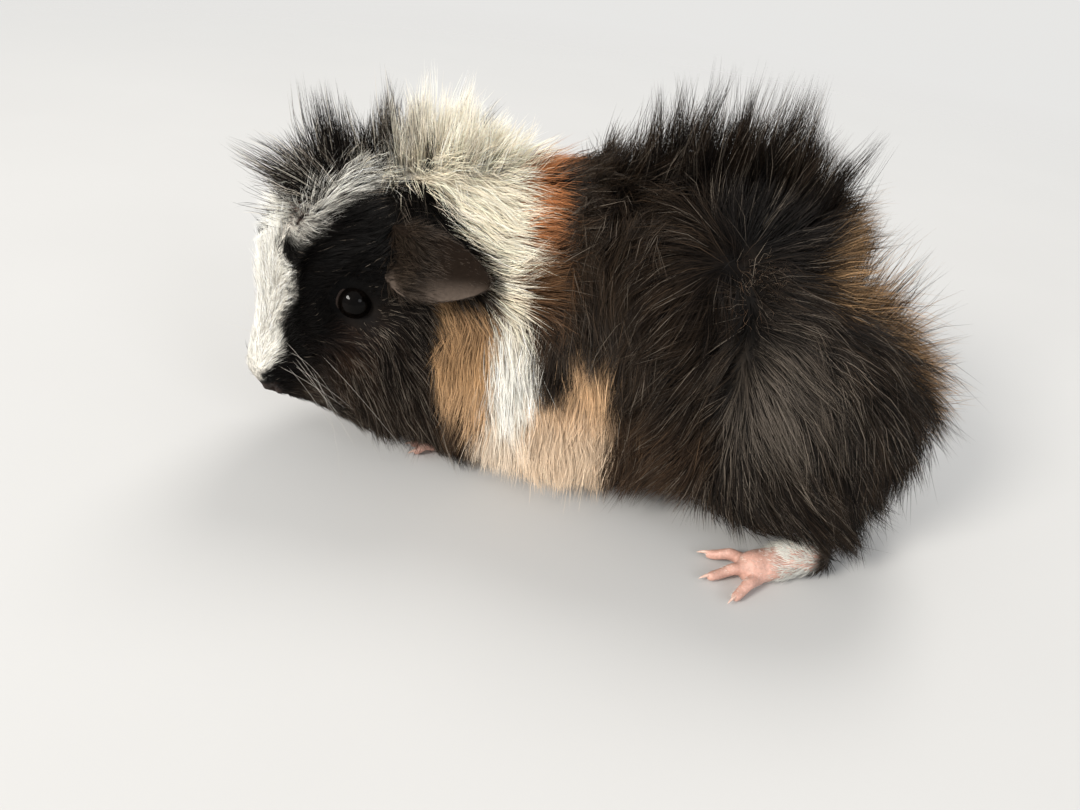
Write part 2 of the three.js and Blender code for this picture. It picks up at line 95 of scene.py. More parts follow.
UNDERCOAT = np.array([0.60, 0.45, 0.36])  # tinge of the skin under pale coat
PINK = np.array([0.62, 0.33, 0.27])  # skin that shows in the whorl
LOBE = np.array([0.100, 0.076, 0.060])  # the thin lower end of an ear
QUICK = np.array([0.66, 0.36, 0.28])  # flesh that shows in the root of a claw
EYE_RIM = np.array([0.035, 0.026, 0.021])  # edge of the eyeball, under the lids
EAR_HAIR = np.array([0.070, 0.053, 0.041])
EAR_ROOT_HAIR = np.array([0.038, 0.027, 0.019])

# tilt down, turn and roll of the camera in degrees, and its place from the barrel's middle
CAMERA_ANGLES = (32.4, 10.0, 8.3)
CAMERA_AT = (17.26, -213.2, 147.0)


# ---- small sums on arrays of points --------------------------------------------------------
def unit(v):
    return v / np.maximum(np.linalg.norm(v, axis=-1, keepdims=True), 1e-9)


def dot(a, b):
    return (a * b).sum(-1, keepdims=True)


def flat_on(v, normal):
    """The share of v that lies along the surface."""
    return v - dot(v, normal) * normal


def ease(x, low, high):
    t = np.clip((x - low) / (high - low), 0, 1)
    return t * t * (3 - 2 * t)


def mix(a, b, share):
    return a + (b - a) * share


def ripple(p, size, seed):
    """Smooth noise from about -1 to 1, with bumps of about that size."""
    rng = np.random.default_rng(seed)
    waves = unit(rng.normal(size=(7, 3))) * (2 * math.pi / size) * rng.uniform(0.6, 1.5, (7, 1))
    phases = rng.uniform(0, 2 * math.pi, 7)
    return np.sin(p @ waves.T + phases).sum(-1) / 3.2


def nearest_on(p, a, b):
    """The point of the segment from a to b that is nearest to each p, and its share of the way."""
    run = b - a
    t = np.clip((p - a) @ run / (run @ run), 0, 1)
    return a + t[:, None] * run, t


def along_line(p, line):
    """Nearest point on a polyline for each p, its distance, and how far along it lies, 0 to 1."""
    best = np.full(len(p), 1e9)
    near = np.zeros_like(p)
    share = np.zeros(len(p))
    for i in range(len(line) - 1):
        q, t = nearest_on(p, line[i], line[i + 1])
        d = np.linalg.norm(p - q, axis=1)
        closer = d < best
        best[closer] = d[closer]
        near[closer] = q[closer]
        share[closer] = (i + t[closer]) / (len(line) - 1)
    return near, best, share


# ---- the head's own frame ------------------------------------------------------------------
def box_mm(node):
    low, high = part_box(node)
    return np.array(low) / UNIT, np.array(high) / UNIT


def middle_of(node):
    low, high = box_mm(node)
    return (low + high) / 2


class HeadFrame:
    """Axes ahead, left and up of the turned head, with its origin between the eyes."""

    def __init__(self):
        left_eye, right_eye = middle_of("eye_left"), middle_of("eye_right")
        self.left = unit(left_eye - right_eye)
        pitch = math.radians(HEAD_PITCH)
        level = np.array([self.left[1], -self.left[0], 0.0])
        self.ahead = level * math.cos(pitch) - np.array([0, 0, math.sin(pitch)])
        self.up = np.cross(self.ahead, self.left)
        self.origin = (left_eye + right_eye) / 2 - EYE_AHEAD * self.ahead - EYE_ABOVE * self.up
        self.axes = np.stack([self.ahead, self.left, self.up])

    def place(self, ahead, left, up):
        return self.origin + np.array([ahead, left, up]) @ self.axes

    def way(self, ahead, left, up):
        return np.array([ahead, left, up], float) @ self.axes

    def own(self, p):
        """Points in the head's own frame."""
        return (p - self.origin) @ self.axes.T


HEAD = HeadFrame()
FORE = 7.30  # the barrel's middle stands this far behind the middle of the whole model


def spot(x, y, z):
    """A place given from the barrel's middle."""
    return np.array([x + FORE, y, z], float)


# ---- lines that the coat grows from ---------------------------------------------------------
WHORL = HEAD.place(-1.3, 0, 25.7)
CROWN_LINE = np.array(
    [
        HEAD.place(-7, 0, 24.5),
        HEAD.place(-16, -1, 24),
        HEAD.place(-28, -2, 21),
        spot(-50, -9, 87),
        spot(-36, -5, 87),
    ]
)
RUMP_LINE = np.array([spot(-7, 1, 89), spot(6, 2, 90), spot(20, 2, 90), spot(34, 1, 89), spot(46, -1, 87)])
HIP_ROSETTE = np.array([spot(25.2, -30.5, 78), spot(28.2, -33.6, 72.5), spot(30.5, -36.2, 66)])
HIP_CREASE = np.array(
    [
        spot(28, -33, 74),
        spot(29.8, -38, 61.6),
        spot(28.6, -40, 48),
        spot(30.8, -41.5, 29),
        spot(34.7, -43, 21.7),
    ]
)
CURLS = spot(32, -31.5, 76.5)
HIP_PARTING = np.concatenate([HIP_ROSETTE, HIP_CREASE[1:4]])
FRINGE_LINE = np.array([spot(53, -6, 69), spot(66, -6, 63), spot(77, -6, 52), spot(86, -8, 40)])
MIRROR = np.array([1.0, -1.0, 1.0])


def side_of(p):
    """-1 for the animal's left, +1 for its right, by the middle of the back."""
    return np.where(p[:, 1] < 0, -1.0, 1.0)


def on_left(p):
    """The same places on the animal's left side."""
    return np.stack([p[:, 0], -np.abs(p[:, 1]), p[:, 2]], 1)


def head_share(p):
    """1 on the face, 0 behind the ears."""
    h = HEAD.own(p)
    return ease(h[:, 0], -24, -12) * ease(-np.abs(h[:, 1]), -36, -28)


# ---- how long the coat is and how it lies ---------------------------------------------------
def coat_length(p):
    """Length of the hair in millimetres at points on the surface."""
    h = HEAD.own(p)
    ahead, side, up = h[:, 0], np.abs(h[:, 1]), h[:, 2]
    x, z = p[:, 0] - FORE, p[:, 2]
    face = np.interp(ahead, [-16, -4, 8, 20, 28, 33, 36], [9, 8.4, 8.0, 6.4, 4.6, 2.6, 1.8])
    mask = ease(side, 8, 12) * ease(up, -8, 2) * ease(ahead, -16, -6)
    face = mix(face, np.minimum(face, 4.2), mask)
    cheek = ease(side, 9, 20) * ease(-up, 0, 12) * ease(-ahead, -24, -12)
    jaw = ease(-z, -40, -18) * ease(-ahead, -27, -17)
    band = ease(up, 9, 15) * ease(-ahead, -4, 4)
    face = mix(face, 10.0, band)
    face = face + 3.5 * cheek + 4.0 * jaw
    face = np.minimum(face, 1.7 + 0.75 * np.maximum(eye_distance(p) - 1.0, 0))
    body = np.full(len(p), 16.0)
    body = mix(body, 15.0, ease(-x, 24, 34))
    body = mix(body, 17.0, ease(x, 40, 75))
    body = mix(body, 19.0, ridge_share(p))
    body = mix(body, 22.0, far_rump(p))
    _, fold, _ = along_line(on_left(p), HIP_CREASE)
    body = mix(body, 9.0, np.exp(-((fold / 4.5) ** 2)))
    body = mix(body, 11.0, ease(-z, -24, -12))
    body = mix(body, 6.0, ease(-z, -11, -5))
    return mix(body, face, head_share(p))


def ridge_share(p):
    """1 along the middle of the back and rump, where the coat of both sides meets and stands."""
    _, distance, share = along_line(p, RUMP_LINE)
    return (1 - ease(distance, 7, 19)) * ease(share, 0.0, 0.25)


def eye_distance(p):
    """Distance to the nearer eyeball's surface."""
    gaps = []
    for side in (1, -1):
        centre, radius, _ = eye_frame(side)
        gaps.append(np.linalg.norm(p - centre, axis=1) - radius)
    return np.minimum(*gaps)


def far_rump(p):
    """1 on the top of the rump's far half, where the coat is thin, long and ginger."""
    x, y, z = p[:, 0] - FORE, p[:, 1], p[:, 2]
    return ease(x, 48, 57) * ease(z, 44, 60) * ease(y, -27, -15)


def coat_lift(p):
    """Angle in degrees at which the hair leaves the skin."""
    share = head_share(p)
    _, crown, _ = along_line(p, CROWN_LINE)
    _, rump, rump_share = along_line(p, RUMP_LINE)
    rump = rump - 8 * ease(rump_share, 0.3, 0.6)
    h = HEAD.own(p)
    lift = mix(22.0, np.interp(h[:, 0], [0, 24, 34], [20, 16, 12]), share)
    lift = mix(lift, 14.0, ease(p[:, 0] - FORE, 52, 66) * ease(-p[:, 2], -80, -66))
    lift = mix(lift, 45.0, far_rump(p))
    lift = mix(lift, 8.0, (1 - share) * ease(-p[:, 2], -26, -16))
    stand = np.maximum(1 - ease(crown, 4, 12), 1 - ease(rump, 6, 18))
    for hip in (HIP_ROSETTE, HIP_ROSETTE * MIRROR):
        _, parting, _ = along_line(p, hip)
        stand = np.maximum(stand, 0.6 * (1 - ease(parting, 1, 7)))
    return mix(lift, 50.0, stand)


def coat_depth(p):
    """How far the skin lies inside the outline of the coat."""
    x = p[:, 0] - FORE
    share = mix(0.40, 0.56, ease(x, 34, 52))
    share = mix(share, 0.50, ridge_share(p))
    share = mix(share, 1.0, far_rump(p))
    depth = coat_length(p) * mix(share, 0.27, head_share(p))
    _, fold, _ = along_line(on_left(p) + np.array([1.5, 0, 0]), HIP_CREASE)
    return depth + 6.0 * np.exp(-((fold / 4.5) ** 2))


def coat_flow(p, normal):
    """Direction along the surface in which the hair lies."""
    share = head_share(p)[:, None]
    h = HEAD.own(p)
    side = np.where(h[:, 1:2] < 0, -1.0, 1.0)
    wide = np.abs(h[:, 1])
    down = np.array([0.0, 0.0, -1.0])

    back = -HEAD.ahead + 0.35 * side * HEAD.left * ease(wide, 1, 9)[:, None]
    cheek = (ease(wide, 8, 18) * ease(-h[:, 2], -2, 9) * ease(-h[:, 0], -28, -17))[:, None]
    face = mix(back, 0.95 * down - 0.40 * HEAD.ahead + 0.10 * side * HEAD.left, cheek)
    away = p - WHORL
    near = np.exp(-((np.linalg.norm(away, axis=1) / 13) ** 2)) * ease(wide, 1.0, 4.0)
    face = unit(flat_on(face, normal)) + 2.6 * near[:, None] * unit(flat_on(away, normal))

    x, z = p[:, 0] - FORE, p[:, 2]
    stations = [-34, -20, -6, 4, 14, 27, 31, 45, 62, 82]
    lean = np.interp(x, stations, [0.1, 0.2, 0.28, 0.05, -0.35, -0.7, 0.0, 0.4, 0.5, 0.3])
    lean = lean + 1.0 * ease(-z, -44, -24) * ease(x, 30, 40) * (1 - 0.6 * ease(x, 60, 80))
    body = np.stack([lean, 0.2 * side_of(p), -np.ones(len(p))], 1)
    rise = np.interp(x, [-58, -44, -36, -28, -18], [-1.0, -0.7, -0.15, 0.55, 0.5])
    nape = np.stack([np.ones(len(p)), np.zeros(len(p)), rise], 1)
    behind_ear = (ease(z, 50, 62) * (1 - ease(x, -20, -10)))[:, None]
    body = mix(unit(flat_on(body, normal)), unit(flat_on(nape, normal)), behind_ear)
    to_ridge, distance, share_on = along_line(p, RUMP_LINE)
    wing = 10 * ease(share_on, 0.3, 0.6)
    rising = 2.4 * (1 - ease(distance, 7 + wing, 19 + wing)) * ease(share_on, 0.0, 0.2) * ease(distance, 1, 5)
    body = body + rising[:, None] * unit(flat_on(to_ridge - p + np.array([6.0, 0, 0]), normal))
    flow = mix(unit(flat_on(body, normal)), face, share)
    for side in (1, -1):
        centre, radius, _ = eye_frame(side)
        away = p - centre
        near = np.exp(-(((np.linalg.norm(away, axis=1) - radius) / 2.5) ** 2))
        flow = flow + 1.8 * near[:, None] * unit(flat_on(away, normal))
    frayed = p + 2.6 * np.stack([ripple(p, 7, seed) for seed in (71, 72, 73)], 1)
    behind = ease(x, 28, 36)
    for line, reach, strength, fade in (
        (HIP_PARTING, mix(11, 19, behind), 2.6, 0.85),
        (HIP_PARTING * MIRROR, mix(11, 19, behind), 2.6, 0.85),
        (CROWN_LINE, 11, 1.6, 0.5),
    ):
        q, d, share_on = along_line(frayed, line)
        weight = (strength * np.exp(-((d / reach) ** 2)) * (1 - fade * share_on))[:, None]
        flow = flow + weight * unit(flat_on(p - q, normal))
    return unit(flat_on(flow, normal))


# ---- the colours of the coat -----------------------------------------------------------------
def markings(p, jitter, palette):
    """Colour of the coat at each point; jitter moves each hair's place so that borders feather."""
    q = p + jitter
    h = HEAD.own(q)
    ahead, left, up = h[:, 0], h[:, 1], h[:, 2]
    wide = np.abs(left)
    x, y, z = q[:, 0] - FORE, q[:, 1], q[:, 2]
    side = np.abs(y)
    mottle = ripple(q, 9, 3) + 0.6 * ripple(q, 3.5, 4)
    edge = 1.4 * ripple(q, 14, 5) + 0.7 * ripple(q, 5, 6)
    colour = np.tile(palette["black"], (len(q), 1))

    def paint(name, share):
        nonlocal colour
        colour = mix(colour, palette[name], np.clip(share, 0, 1)[:, None])

    def inside(value, soft=1.0):
        return ease(value, -soft, soft)

    # brown in the black of the sides, less on the haunches
    haunch = inside(x - 31, 4)
    paint("umber", (0.60 - 0.34 * haunch) + 0.40 * mottle)
    # painted sheen: a grey-brown highlight painted where the lamp falls on the front of the haunch
    front = np.exp(-(((x - 43) / 9) ** 2 + ((z - 50) / 13) ** 2)) * (side > 20)
    paint("haunch_sheen", 1.1 * front * (0.6 + 0.5 * mottle))
    paint("golden", 0.11 * inside(34 - z, 8) * (1 - haunch))
    _, ridge, _ = along_line(q, RUMP_LINE)
    paint("black", inside(x - 16, 6) * (1 - ease(ridge, 20, 30)))
    _, core, _ = along_line(on_left(q), HIP_ROSETTE)
    _, fold, _ = along_line(on_left(q), HIP_CREASE)
    # painted shade: the hollow at the core of the hip rosette is painted jet
    paint("jet", 1 - ease(core, 4.5, 10))
    # painted shade: the crease between flank and haunch is painted jet
    paint("jet", 0.9 * (1 - ease(fold, 1.5, 4.5)))
    paint("jet", inside(ahead + 38, 3) * inside(z - 52, 4) * inside(38 - wide, 3))
    face = inside(ahead + 22 - 0.13 * (wide - 17), 2.0) * inside(34 - wide, 2.0)
    paint("black", face * 0.72)
    paint("jet", face * inside(up + 0.5 * ahead - 1, 4))
    rust = np.exp(-(((ahead - 10) / 9) ** 2 + ((wide - 22) / 7) ** 2 + ((up + 9) / 7) ** 2))
    paint("rust", 0.35 * rust * (0.6 + 0.4 * mottle))
    # golden stripe behind the collar, brightest near the back
    back_edge = np.interp(
        z,
        [5, 13, 26, 33, 51, 67, 77, 86, 94],
        [-10, -11, -14, -16, -19.3, -22.7, -25.6, -30, -33],
    )
    front_edge = np.interp(
        z,
        [5, 20, 33, 48, 56, 67, 72, 79, 81, 84],
        [-30.5, -29.4, -28.7, -28.6, -27.8, -30.6, -38.2, -50, -64, -90],
    )
    breadth = np.interp(z, [48, 60, 80, 92], [3, 10, 9, 6])
    stripe = inside(x + edge - back_edge) * inside(back_edge + breadth - x, 2.5)
    paint("golden", stripe * ease(z, 44, 60) * (0.75 + 0.25 * mottle))
    paint("ginger", stripe * ease(z, 68, 76) * (0.9 + 0.2 * mottle) * inside(back_edge + 8 - x, 2.0))
    # collar
    behind = inside(x + edge - front_edge, 0.8)
    off_face = np.maximum(1 - face, 1 - inside(ahead + 25, 1.5))
    collar = behind * inside(back_edge - x - edge, 0.8) * off_face
    paint("white", collar)
    paint("ivory", collar * ease(z, 36, 58) * (0.75 + 0.25 * mottle))
    paint("cream", collar * ease(-z, -30, -12) * 0.8)
    nape = collar * ease(z, 68, 78) * ease(mottle, 1.1, 1.5)
    paint("black", nape * 0.6)
    # tan behind the cheek, cream under it
    tan = inside(x + 43.5 + edge, 1.2) * inside(front_edge - x + 0.5, 1.2)
    tan = tan * inside(54 - z + edge, 1.5) * inside(2 - ahead, 4)
    paint("tan", tan * (0.85 + 0.2 * mottle))
    paint("golden", tan * ease(z, 38, 54) * (0.28 + 0.4 * mottle))
    paint("umber", tan * ease(z, 32, 52) * ease(ripple(q, 3.0, 7), 0.5, 1.0))
    paint("peach", tan * ease(-z, -36, -24))
    paint("cream", tan * ease(-z, -24, -12) * 0.7)
    # elbow patch
    elbow = np.maximum(
        inside(x + 6.8, 1.2) * inside(3.2 - x, 1.2) * inside(46 + edge - z, 1.5),
        inside(x + 17, 1.2) * inside(5 - x, 1.2) * inside(33 + edge - z, 1.5),
    )
    paint("peach", elbow)
    paint("cream", elbow * ease(-z, -38, -18))
    # crown: salt and pepper over the forehead, white behind
    _, _, share = along_line(q, CROWN_LINE)
    top = inside(12 - wide, 1.5) * inside(-ahead - 3 + 0.3 * edge, 2.0) * inside(up - 10, 3.0)
    pepper = ease(0.62 * ease(wide, 3, 7) + 0.55 * ripple(q, 2.2, 33) + 0.30 * mottle, 0.25, 0.55)
    paint("white", top * mix(pepper, 0.97, ease(share, 0.50, 0.60)))
    # white hairs that fan out from the whorl over the mask
    fan = np.exp(-(((ahead + 0.6) / 1.9) ** 2)) * inside(left - 1.0, 1.0)
    fan = fan * inside(10.8 - left, 1.5) * inside(up - 12, 3)
    paint("white", 1.3 * fan * ease(ripple(q, 2.2, 35), -0.7, 0.0))
    # blaze from the nose to the whorl
    half = np.interp(
        ahead,
        [-4, 1, 4.5, 6.5, 8.3, 10.5, 13, 16, 19.5, 21.5, 25, 29, 33, 36],
        [3.2, 3.8, 3.0, 5.6, 11.6, 12.6, 10.6, 8.8, 7.2, 8.2, 7.2, 5.4, 3.6, 2.6],
    )
    half = half + 6.0 * (left < 0) * inside(8 - ahead, 3)
    blaze = inside(half - wide + 0.7 * edge, 0.7) * inside(ahead + 3, 1.0)
    blaze = blaze * inside(up + 9.5 - 0.35 * wide, 0.8) * inside(up + 0.75 * ahead - 9.0, 3.0)
    paint("white", blaze)
    tick = blaze * inside(-up - 5.5, 1.5) * 0.45
    paint("black", tick * (0.6 + 0.6 * mottle))
    # ginger fringe over the far side of the rump
    near_edge = np.interp(z, [42, 56, 66], [-11, -18, -23])
    fringe = inside(y - near_edge + edge, 2) * inside(x - 50, 2.5) * inside(z - 38, 6) * inside(30 - y, 6)
    paint("tan", fringe * (0.55 + 0.3 * mottle))
    paint("umber", fringe * 0.9 * ease(ripple(q, 2.2, 9), 0.1, 0.5))
    return np.clip(colour, 0.0015, 0.95)


# ---- meshes from arrays ----------------------------------------------------------------------
def add_object(name, mesh):
    made = bpy.data.objects.new(name, mesh)
    bpy.context.scene.collection.objects.link(made)
    return made


def mesh_of(name, co, quads, tris):
    """A smooth mesh from millimetre points, with its quads first and its triangles after them."""
    mesh = bpy.data.meshes.new(name)
    mesh.vertices.add(len(co))
    mesh.vertices.foreach_set("co", (co * UNIT).astype(np.float32).ravel())
    loops = np.concatenate([quads.ravel(), tris.ravel()]).astype(np.int32)
    mesh.loops.add(len(loops))
    mesh.loops.foreach_set("vertex_index", loops)
    starts = np.concatenate(
        [np.arange(len(quads)) * 4, len(quads) * 4 + np.arange(len(tris)) * 3]
    ).astype(np.int32)
    mesh.polygons.add(len(starts))
    mesh.polygons.foreach_set("loop_start", starts)
    mesh.polygons.foreach_set("use_smooth", np.ones(len(starts), bool))
    mesh.update(calc_edges=True)
    return mesh


def smooth_mesh(name, co, faces):
    """A smooth mesh from millimetre points and faces of any number of corners."""
    mesh = bpy.data.meshes.new(name)
    mesh.from_pydata((co * UNIT).tolist(), [], faces)
    mesh.polygons.foreach_set("use_smooth", np.ones(len(faces), bool))
    return mesh


def joined(parts):
    """Several lots of points and faces as one."""
    co, faces, start = [], [], 0
    for points, corners in parts:
        co.append(points)
        faces += [tuple(i + start for i in face) for face in corners]
        start += len(points)
    return np.concatenate(co), faces


def set_colours(mesh, colours):
    layer = mesh.attributes.new("coat", "FLOAT_COLOR", "POINT")
    rgba = np.ones((len(colours), 4), np.float32)
    rgba[:, :3] = colours
    layer.data.foreach_set("color", rgba.ravel())


def set_along(mesh, values):
    layer = mesh.attributes.new("along", "FLOAT", "POINT")
    layer.data.foreach_set("value", np.asarray(values, np.float32))


def read(items, field, columns, kind=np.float32):
    """One field of all the items, as an array with a row for each."""
    out = np.empty(len(items) * columns, kind)
    items.foreach_get(field, out)
    return out.reshape(-1, columns)


def points_of(mesh):
    return read(mesh.vertices, "co", 3).astype(float) / UNIT


def normals_of(mesh):
    return read(mesh.vertex_normals, "vector", 3).astype(float)


def set_points(mesh, co):
    mesh.vertices.foreach_set("co", (co * UNIT).astype(np.float32).ravel())
    mesh.update()


def relaxed(co, mesh, rounds, share):
    """Points drawn towards the mean of their neighbours."""
    a, b = read(mesh.edges, "vertices", 2, np.int32).T
    count = len(co)
    degree = np.maximum(np.bincount(a, minlength=count) + np.bincount(b, minlength=count), 1)
    for _ in range(rounds):
        sums = [np.bincount(a, co[b, k], count) + np.bincount(b, co[a, k], count) for k in range(3)]
        total = np.stack(sums, 1)
        co = co + share * (total / degree[:, None] - co)
    return co


def smoothed(co, mesh, rounds):
    """Points evened out without shrinking the form."""
    for _ in range(rounds):
        co = relaxed(relaxed(co, mesh, 1, 0.5), mesh, 1, -0.51)
    return co


def remeshed(mesh, cell):
    """The mesh as one even skin of cells, in millimetres."""
    holder = add_object("cells", mesh)
    cells = holder.modifiers.new("cells", "REMESH")
    cells.mode = "VOXEL"
    cells.voxel_size = cell * UNIT
    graph = bpy.context.evaluated_depsgraph_get()
    made = bpy.data.meshes.new_from_object(holder.evaluated_get(graph))
    bpy.data.objects.remove(holder)
    return made


def mesh_from(work, name):
    """What was made in bmesh, as a mesh."""
    mesh = bpy.data.meshes.new(name)
    work.to_mesh(mesh)
    work.free()
    return mesh


def joined_shell(names, swell):
    """The named nodes as one mesh, each grown by a little so that they fuse."""
    together = bmesh.new()
    for name in names:
        one = bmesh.new()
        one.from_mesh(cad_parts[name].data)
        bmesh.ops.remove_doubles(one, verts=one.verts, dist=1e-6)
        bmesh.ops.recalc_face_normals(one, faces=one.faces)
        one.normal_update()
        for v in one.verts:
            v.co += v.normal * swell * UNIT
        part = mesh_from(one, "part")
        together.from_mesh(part)
        bpy.data.meshes.remove(part)
    return mesh_from(together, "shell")


def keep_largest(mesh):
    """Deletes all but the largest connected piece."""
    work = bmesh.new()
    work.from_mesh(mesh)
    seen, groups = set(), []
    for start in work.verts:
        if start.index in seen:
            continue
        stack, group = [start], []
        seen.add(start.index)
        while stack:
            v = stack.pop()
            group.append(v)
            for e in v.link_edges:
                o = e.other_vert(v)
                if o.index not in seen:
                    seen.add(o.index)
                    stack.append(o)
        groups.append(group)
    groups.sort(key=len)
    for group in groups[:-1]:
        bmesh.ops.delete(work, geom=group, context="VERTS")
    work.to_mesh(mesh)
    work.free()


def ring_points(centres, radii, sides, across, upward):
    """Rings of points round the centres, in millimetres."""
    angles = 2 * math.pi * np.arange(sides) / sides
    return (
        centres[:, None]
        + radii[:, None, None] * np.cos(angles)[None, :, None] * across[:, None]
        + radii[:, None, None] * np.sin(angles)[None, :, None] * upward[:, None]
    ).reshape(-1, 3)


def ring_quads(rings, sides, closed=False):
    """Faces from each ring of points to the next, and from the last to the first if closed."""
    quads = []
    for i in range(rings if closed else rings - 1):
        a, b = i * sides, (i + 1) % rings * sides
        quads += [(a + j, a + (j + 1) % sides, b + (j + 1) % sides, b + j) for j in range(sides)]
    return quads


def ring_tube(centres, radii, sides, across, upward):
    """Points and faces of a closed tapering tube, with the same sideways axes all along."""
    count = len(centres)
    caps = [tuple(range(sides))[::-1], tuple((count - 1) * sides + j for j in range(sides))]
    return ring_points(centres, radii, sides, across, upward), ring_quads(count, sides) + caps


# ---- materials -------------------------------------------------------------------------------
class Finish:
    """A material under way, with its nodes, its links and its shader."""

    def __init__(self, name, roughness, specular=0.5):
        self.material = bpy.data.materials.new(name)
        self.material.use_nodes = True
        self.nodes, self.links = self.material.node_tree.nodes, self.material.node_tree.links
        self.nodes.clear()
        self.output = self.nodes.new("ShaderNodeOutputMaterial")
        self.shader = self.nodes.new("ShaderNodeBsdfPrincipled")
        self.shader.inputs["Roughness"].default_value = roughness
        self.shader.inputs["Specular IOR Level"].default_value = specular
        self.links.new(self.shader.outputs["BSDF"], self.output.inputs["Surface"])

    def attribute(self, name, output="Color"):
        node = self.nodes.new("ShaderNodeAttribute")
        node.attribute_name = name
        return node.outputs[output]

    def noise(self, scale, detail=3.0):
        place = self.nodes.new("ShaderNodeTexCoord")
        node = self.nodes.new("ShaderNodeTexNoise")
        node.inputs["Scale"].default_value = scale
        node.inputs["Detail"].default_value = detail
        node.inputs["Roughness"].default_value = 0.55
        self.links.new(place.outputs["Object"], node.inputs["Vector"])
        return node.outputs["Fac"]

    def ramp(self, source, low, high):
        """The source read as a value that runs from one (place, value) to the other."""
        node = self.nodes.new("ShaderNodeMapRange")
        for end, (place, value) in (("Min", low), ("Max", high)):
            node.inputs["From " + end].default_value = place
            node.inputs["To " + end].default_value = value
        self.links.new(source, node.inputs["Value"])
        return node.outputs["Result"]

    def patches(self, scale, least, most):
        """Soft uneven patches of a factor between the two values."""
        return self.ramp(self.noise(scale), (0.3, least), (0.7, most))

    def tint(self, colour, *factors):
        """Sets the shader's colour to the given one times each factor."""
        for factor in factors:
            node = self.nodes.new("ShaderNodeVectorMath")
            node.operation = "SCALE"
            self.links.new(colour, node.inputs[0])
            self.links.new(factor, node.inputs["Scale"])
            colour = node.outputs["Vector"]
        self.links.new(colour, self.shader.inputs["Base Color"])

    def tint_coat(self, *factors):
        """Sets the shader's colour to the mesh's own one times each factor."""
        self.tint(self.attribute("coat"), *factors)


def hair_material():
    """The one hair material of all the coat, made when first asked for."""
    if "coat_hair" in bpy.data.materials:
        return bpy.data.materials["coat_hair"]
    hair = Finish("coat_hair", 0.42, 0.08)
    # painted shade: each hair a little darker at its root than towards its tip
    along = hair.ramp(hair.attribute("along", "Fac"), (0.0, 0.9), (0.8, 1.03))
    hair.tint_coat(along, hair.patches(120.0, 0.86, 1.14))
    return hair.material


def skin_material(name, roughness, specular, grain, relief):
    """Bare or undercoat skin: its own colour in soft patches, with a fine grain that stands out."""
    skin = Finish(name, roughness, specular)
    fine = skin.noise(grain, 4.0)
    patch = skin.patches(90.0, 0.85, 1.15)
    skin.tint_coat(patch, skin.ramp(fine, (0.3, 0.82), (0.7, 1.12)))
    bump = skin.nodes.new("ShaderNodeBump")
    bump.inputs["Distance"].default_value = relief * UNIT
    bump.inputs["Strength"].default_value = 0.6
    skin.links.new(fine, bump.inputs["Height"])
    skin.links.new(bump.outputs["Normal"], skin.shader.inputs["Normal"])
    return skin.material


# ---- settings ----------------------------------------------------------------------------------
def colour_setting(name, words, colour):
    return FloatVectorProperty(
        name=name, description=words, default=colour, size=3, subtype="COLOR", min=0, max=1
    )


def length_setting(name, words, default, low, high):
    """A setting whose default and limits are given in millimetres of the design."""
    return FloatProperty(
        name=name,
        description=words,
        default=default * UNIT,
        min=low * UNIT,
        max=high * UNIT,
        precision=5,
        unit="LENGTH",
    )


class PigSkinSettings(bpy.types.PropertyGroup):
    cell: length_setting("Skin cell", "Size of the skin's even mesh cells", 1.0, 0.4, 3)
    foot_skin: colour_setting("Foot skin", "Colour of the bare toes", (0.61, 0.35, 0.275))
    ear_skin: colour_setting("Ear skin", "Colour of the nearly bare ears", (0.014, 0.0090, 0.0060))
    nose_skin: colour_setting("Nose skin", "Colour of the nose leather", (0.030, 0.020, 0.017))


class PigCoatSettings(bpy.types.PropertyGroup):
    density: FloatProperty(
        name="Density",
        description="How thickly the tufts stand, against the coat as drawn",
        default=1.0,
        min=0.05,
        max=2.0,
        subtype="FACTOR",
    )
    width: length_setting("Tuft width", "Width of a body tuft at its root", 0.18, 0.05, 2)
    face_width: length_setting("Face tuft width", "Width of a face tuft at its root", 0.145, 0.05, 2)
    seed: IntProperty(name="Seed", description="Draw of the random numbers", default=11, min=0)
    white: colour_setting("White", "Blaze, collar and socks", (0.93, 0.90, 0.815))
    ivory: colour_setting("Ivory", "Nape and the top of the collar", (0.99, 0.84, 0.63))
    cream: colour_setting("Cream", "Throat and elbow", (0.74, 0.57, 0.41))
    peach: colour_setting("Peach", "Under the cheek", (0.64, 0.41, 0.23))
    tan: colour_setting("Tan", "Behind the cheek and over the rump", (0.56, 0.34, 0.17))
    ginger: colour_setting("Ginger", "Behind the collar", (0.50, 0.195, 0.075))
    golden: colour_setting("Golden brown", "Below the ginger", (0.18, 0.092, 0.043))
    rust: colour_setting("Rust", "Under the eye", (0.075, 0.035, 0.018))
    # haunch_sheen is a painted highlight, the grey-brown sheen of the lamp on the front of the haunch
    haunch_sheen: colour_setting("Sheen", "Grey-brown on the front of the haunch", (0.165, 0.136, 0.11))
    umber: colour_setting("Umber", "Brown in the black", (0.036, 0.0235, 0.0145))
    black: colour_setting("Black", "Most of the coat", (0.0085, 0.0066, 0.0056))
    jet: colour_setting("Jet", "The mask round the eyes", (0.0030, 0.0023, 0.0019))
    # glint: pale hairs that also stand for painted highlights on the dark coat
    glint: colour_setting("Glint", "The few pale hairs in the dark coat", (0.23, 0.19, 0.15))


PALETTE = (
    *("white", "ivory", "cream", "peach", "tan", "ginger"),
    *("golden", "rust", "haunch_sheen", "umber", "black", "jet"),
)


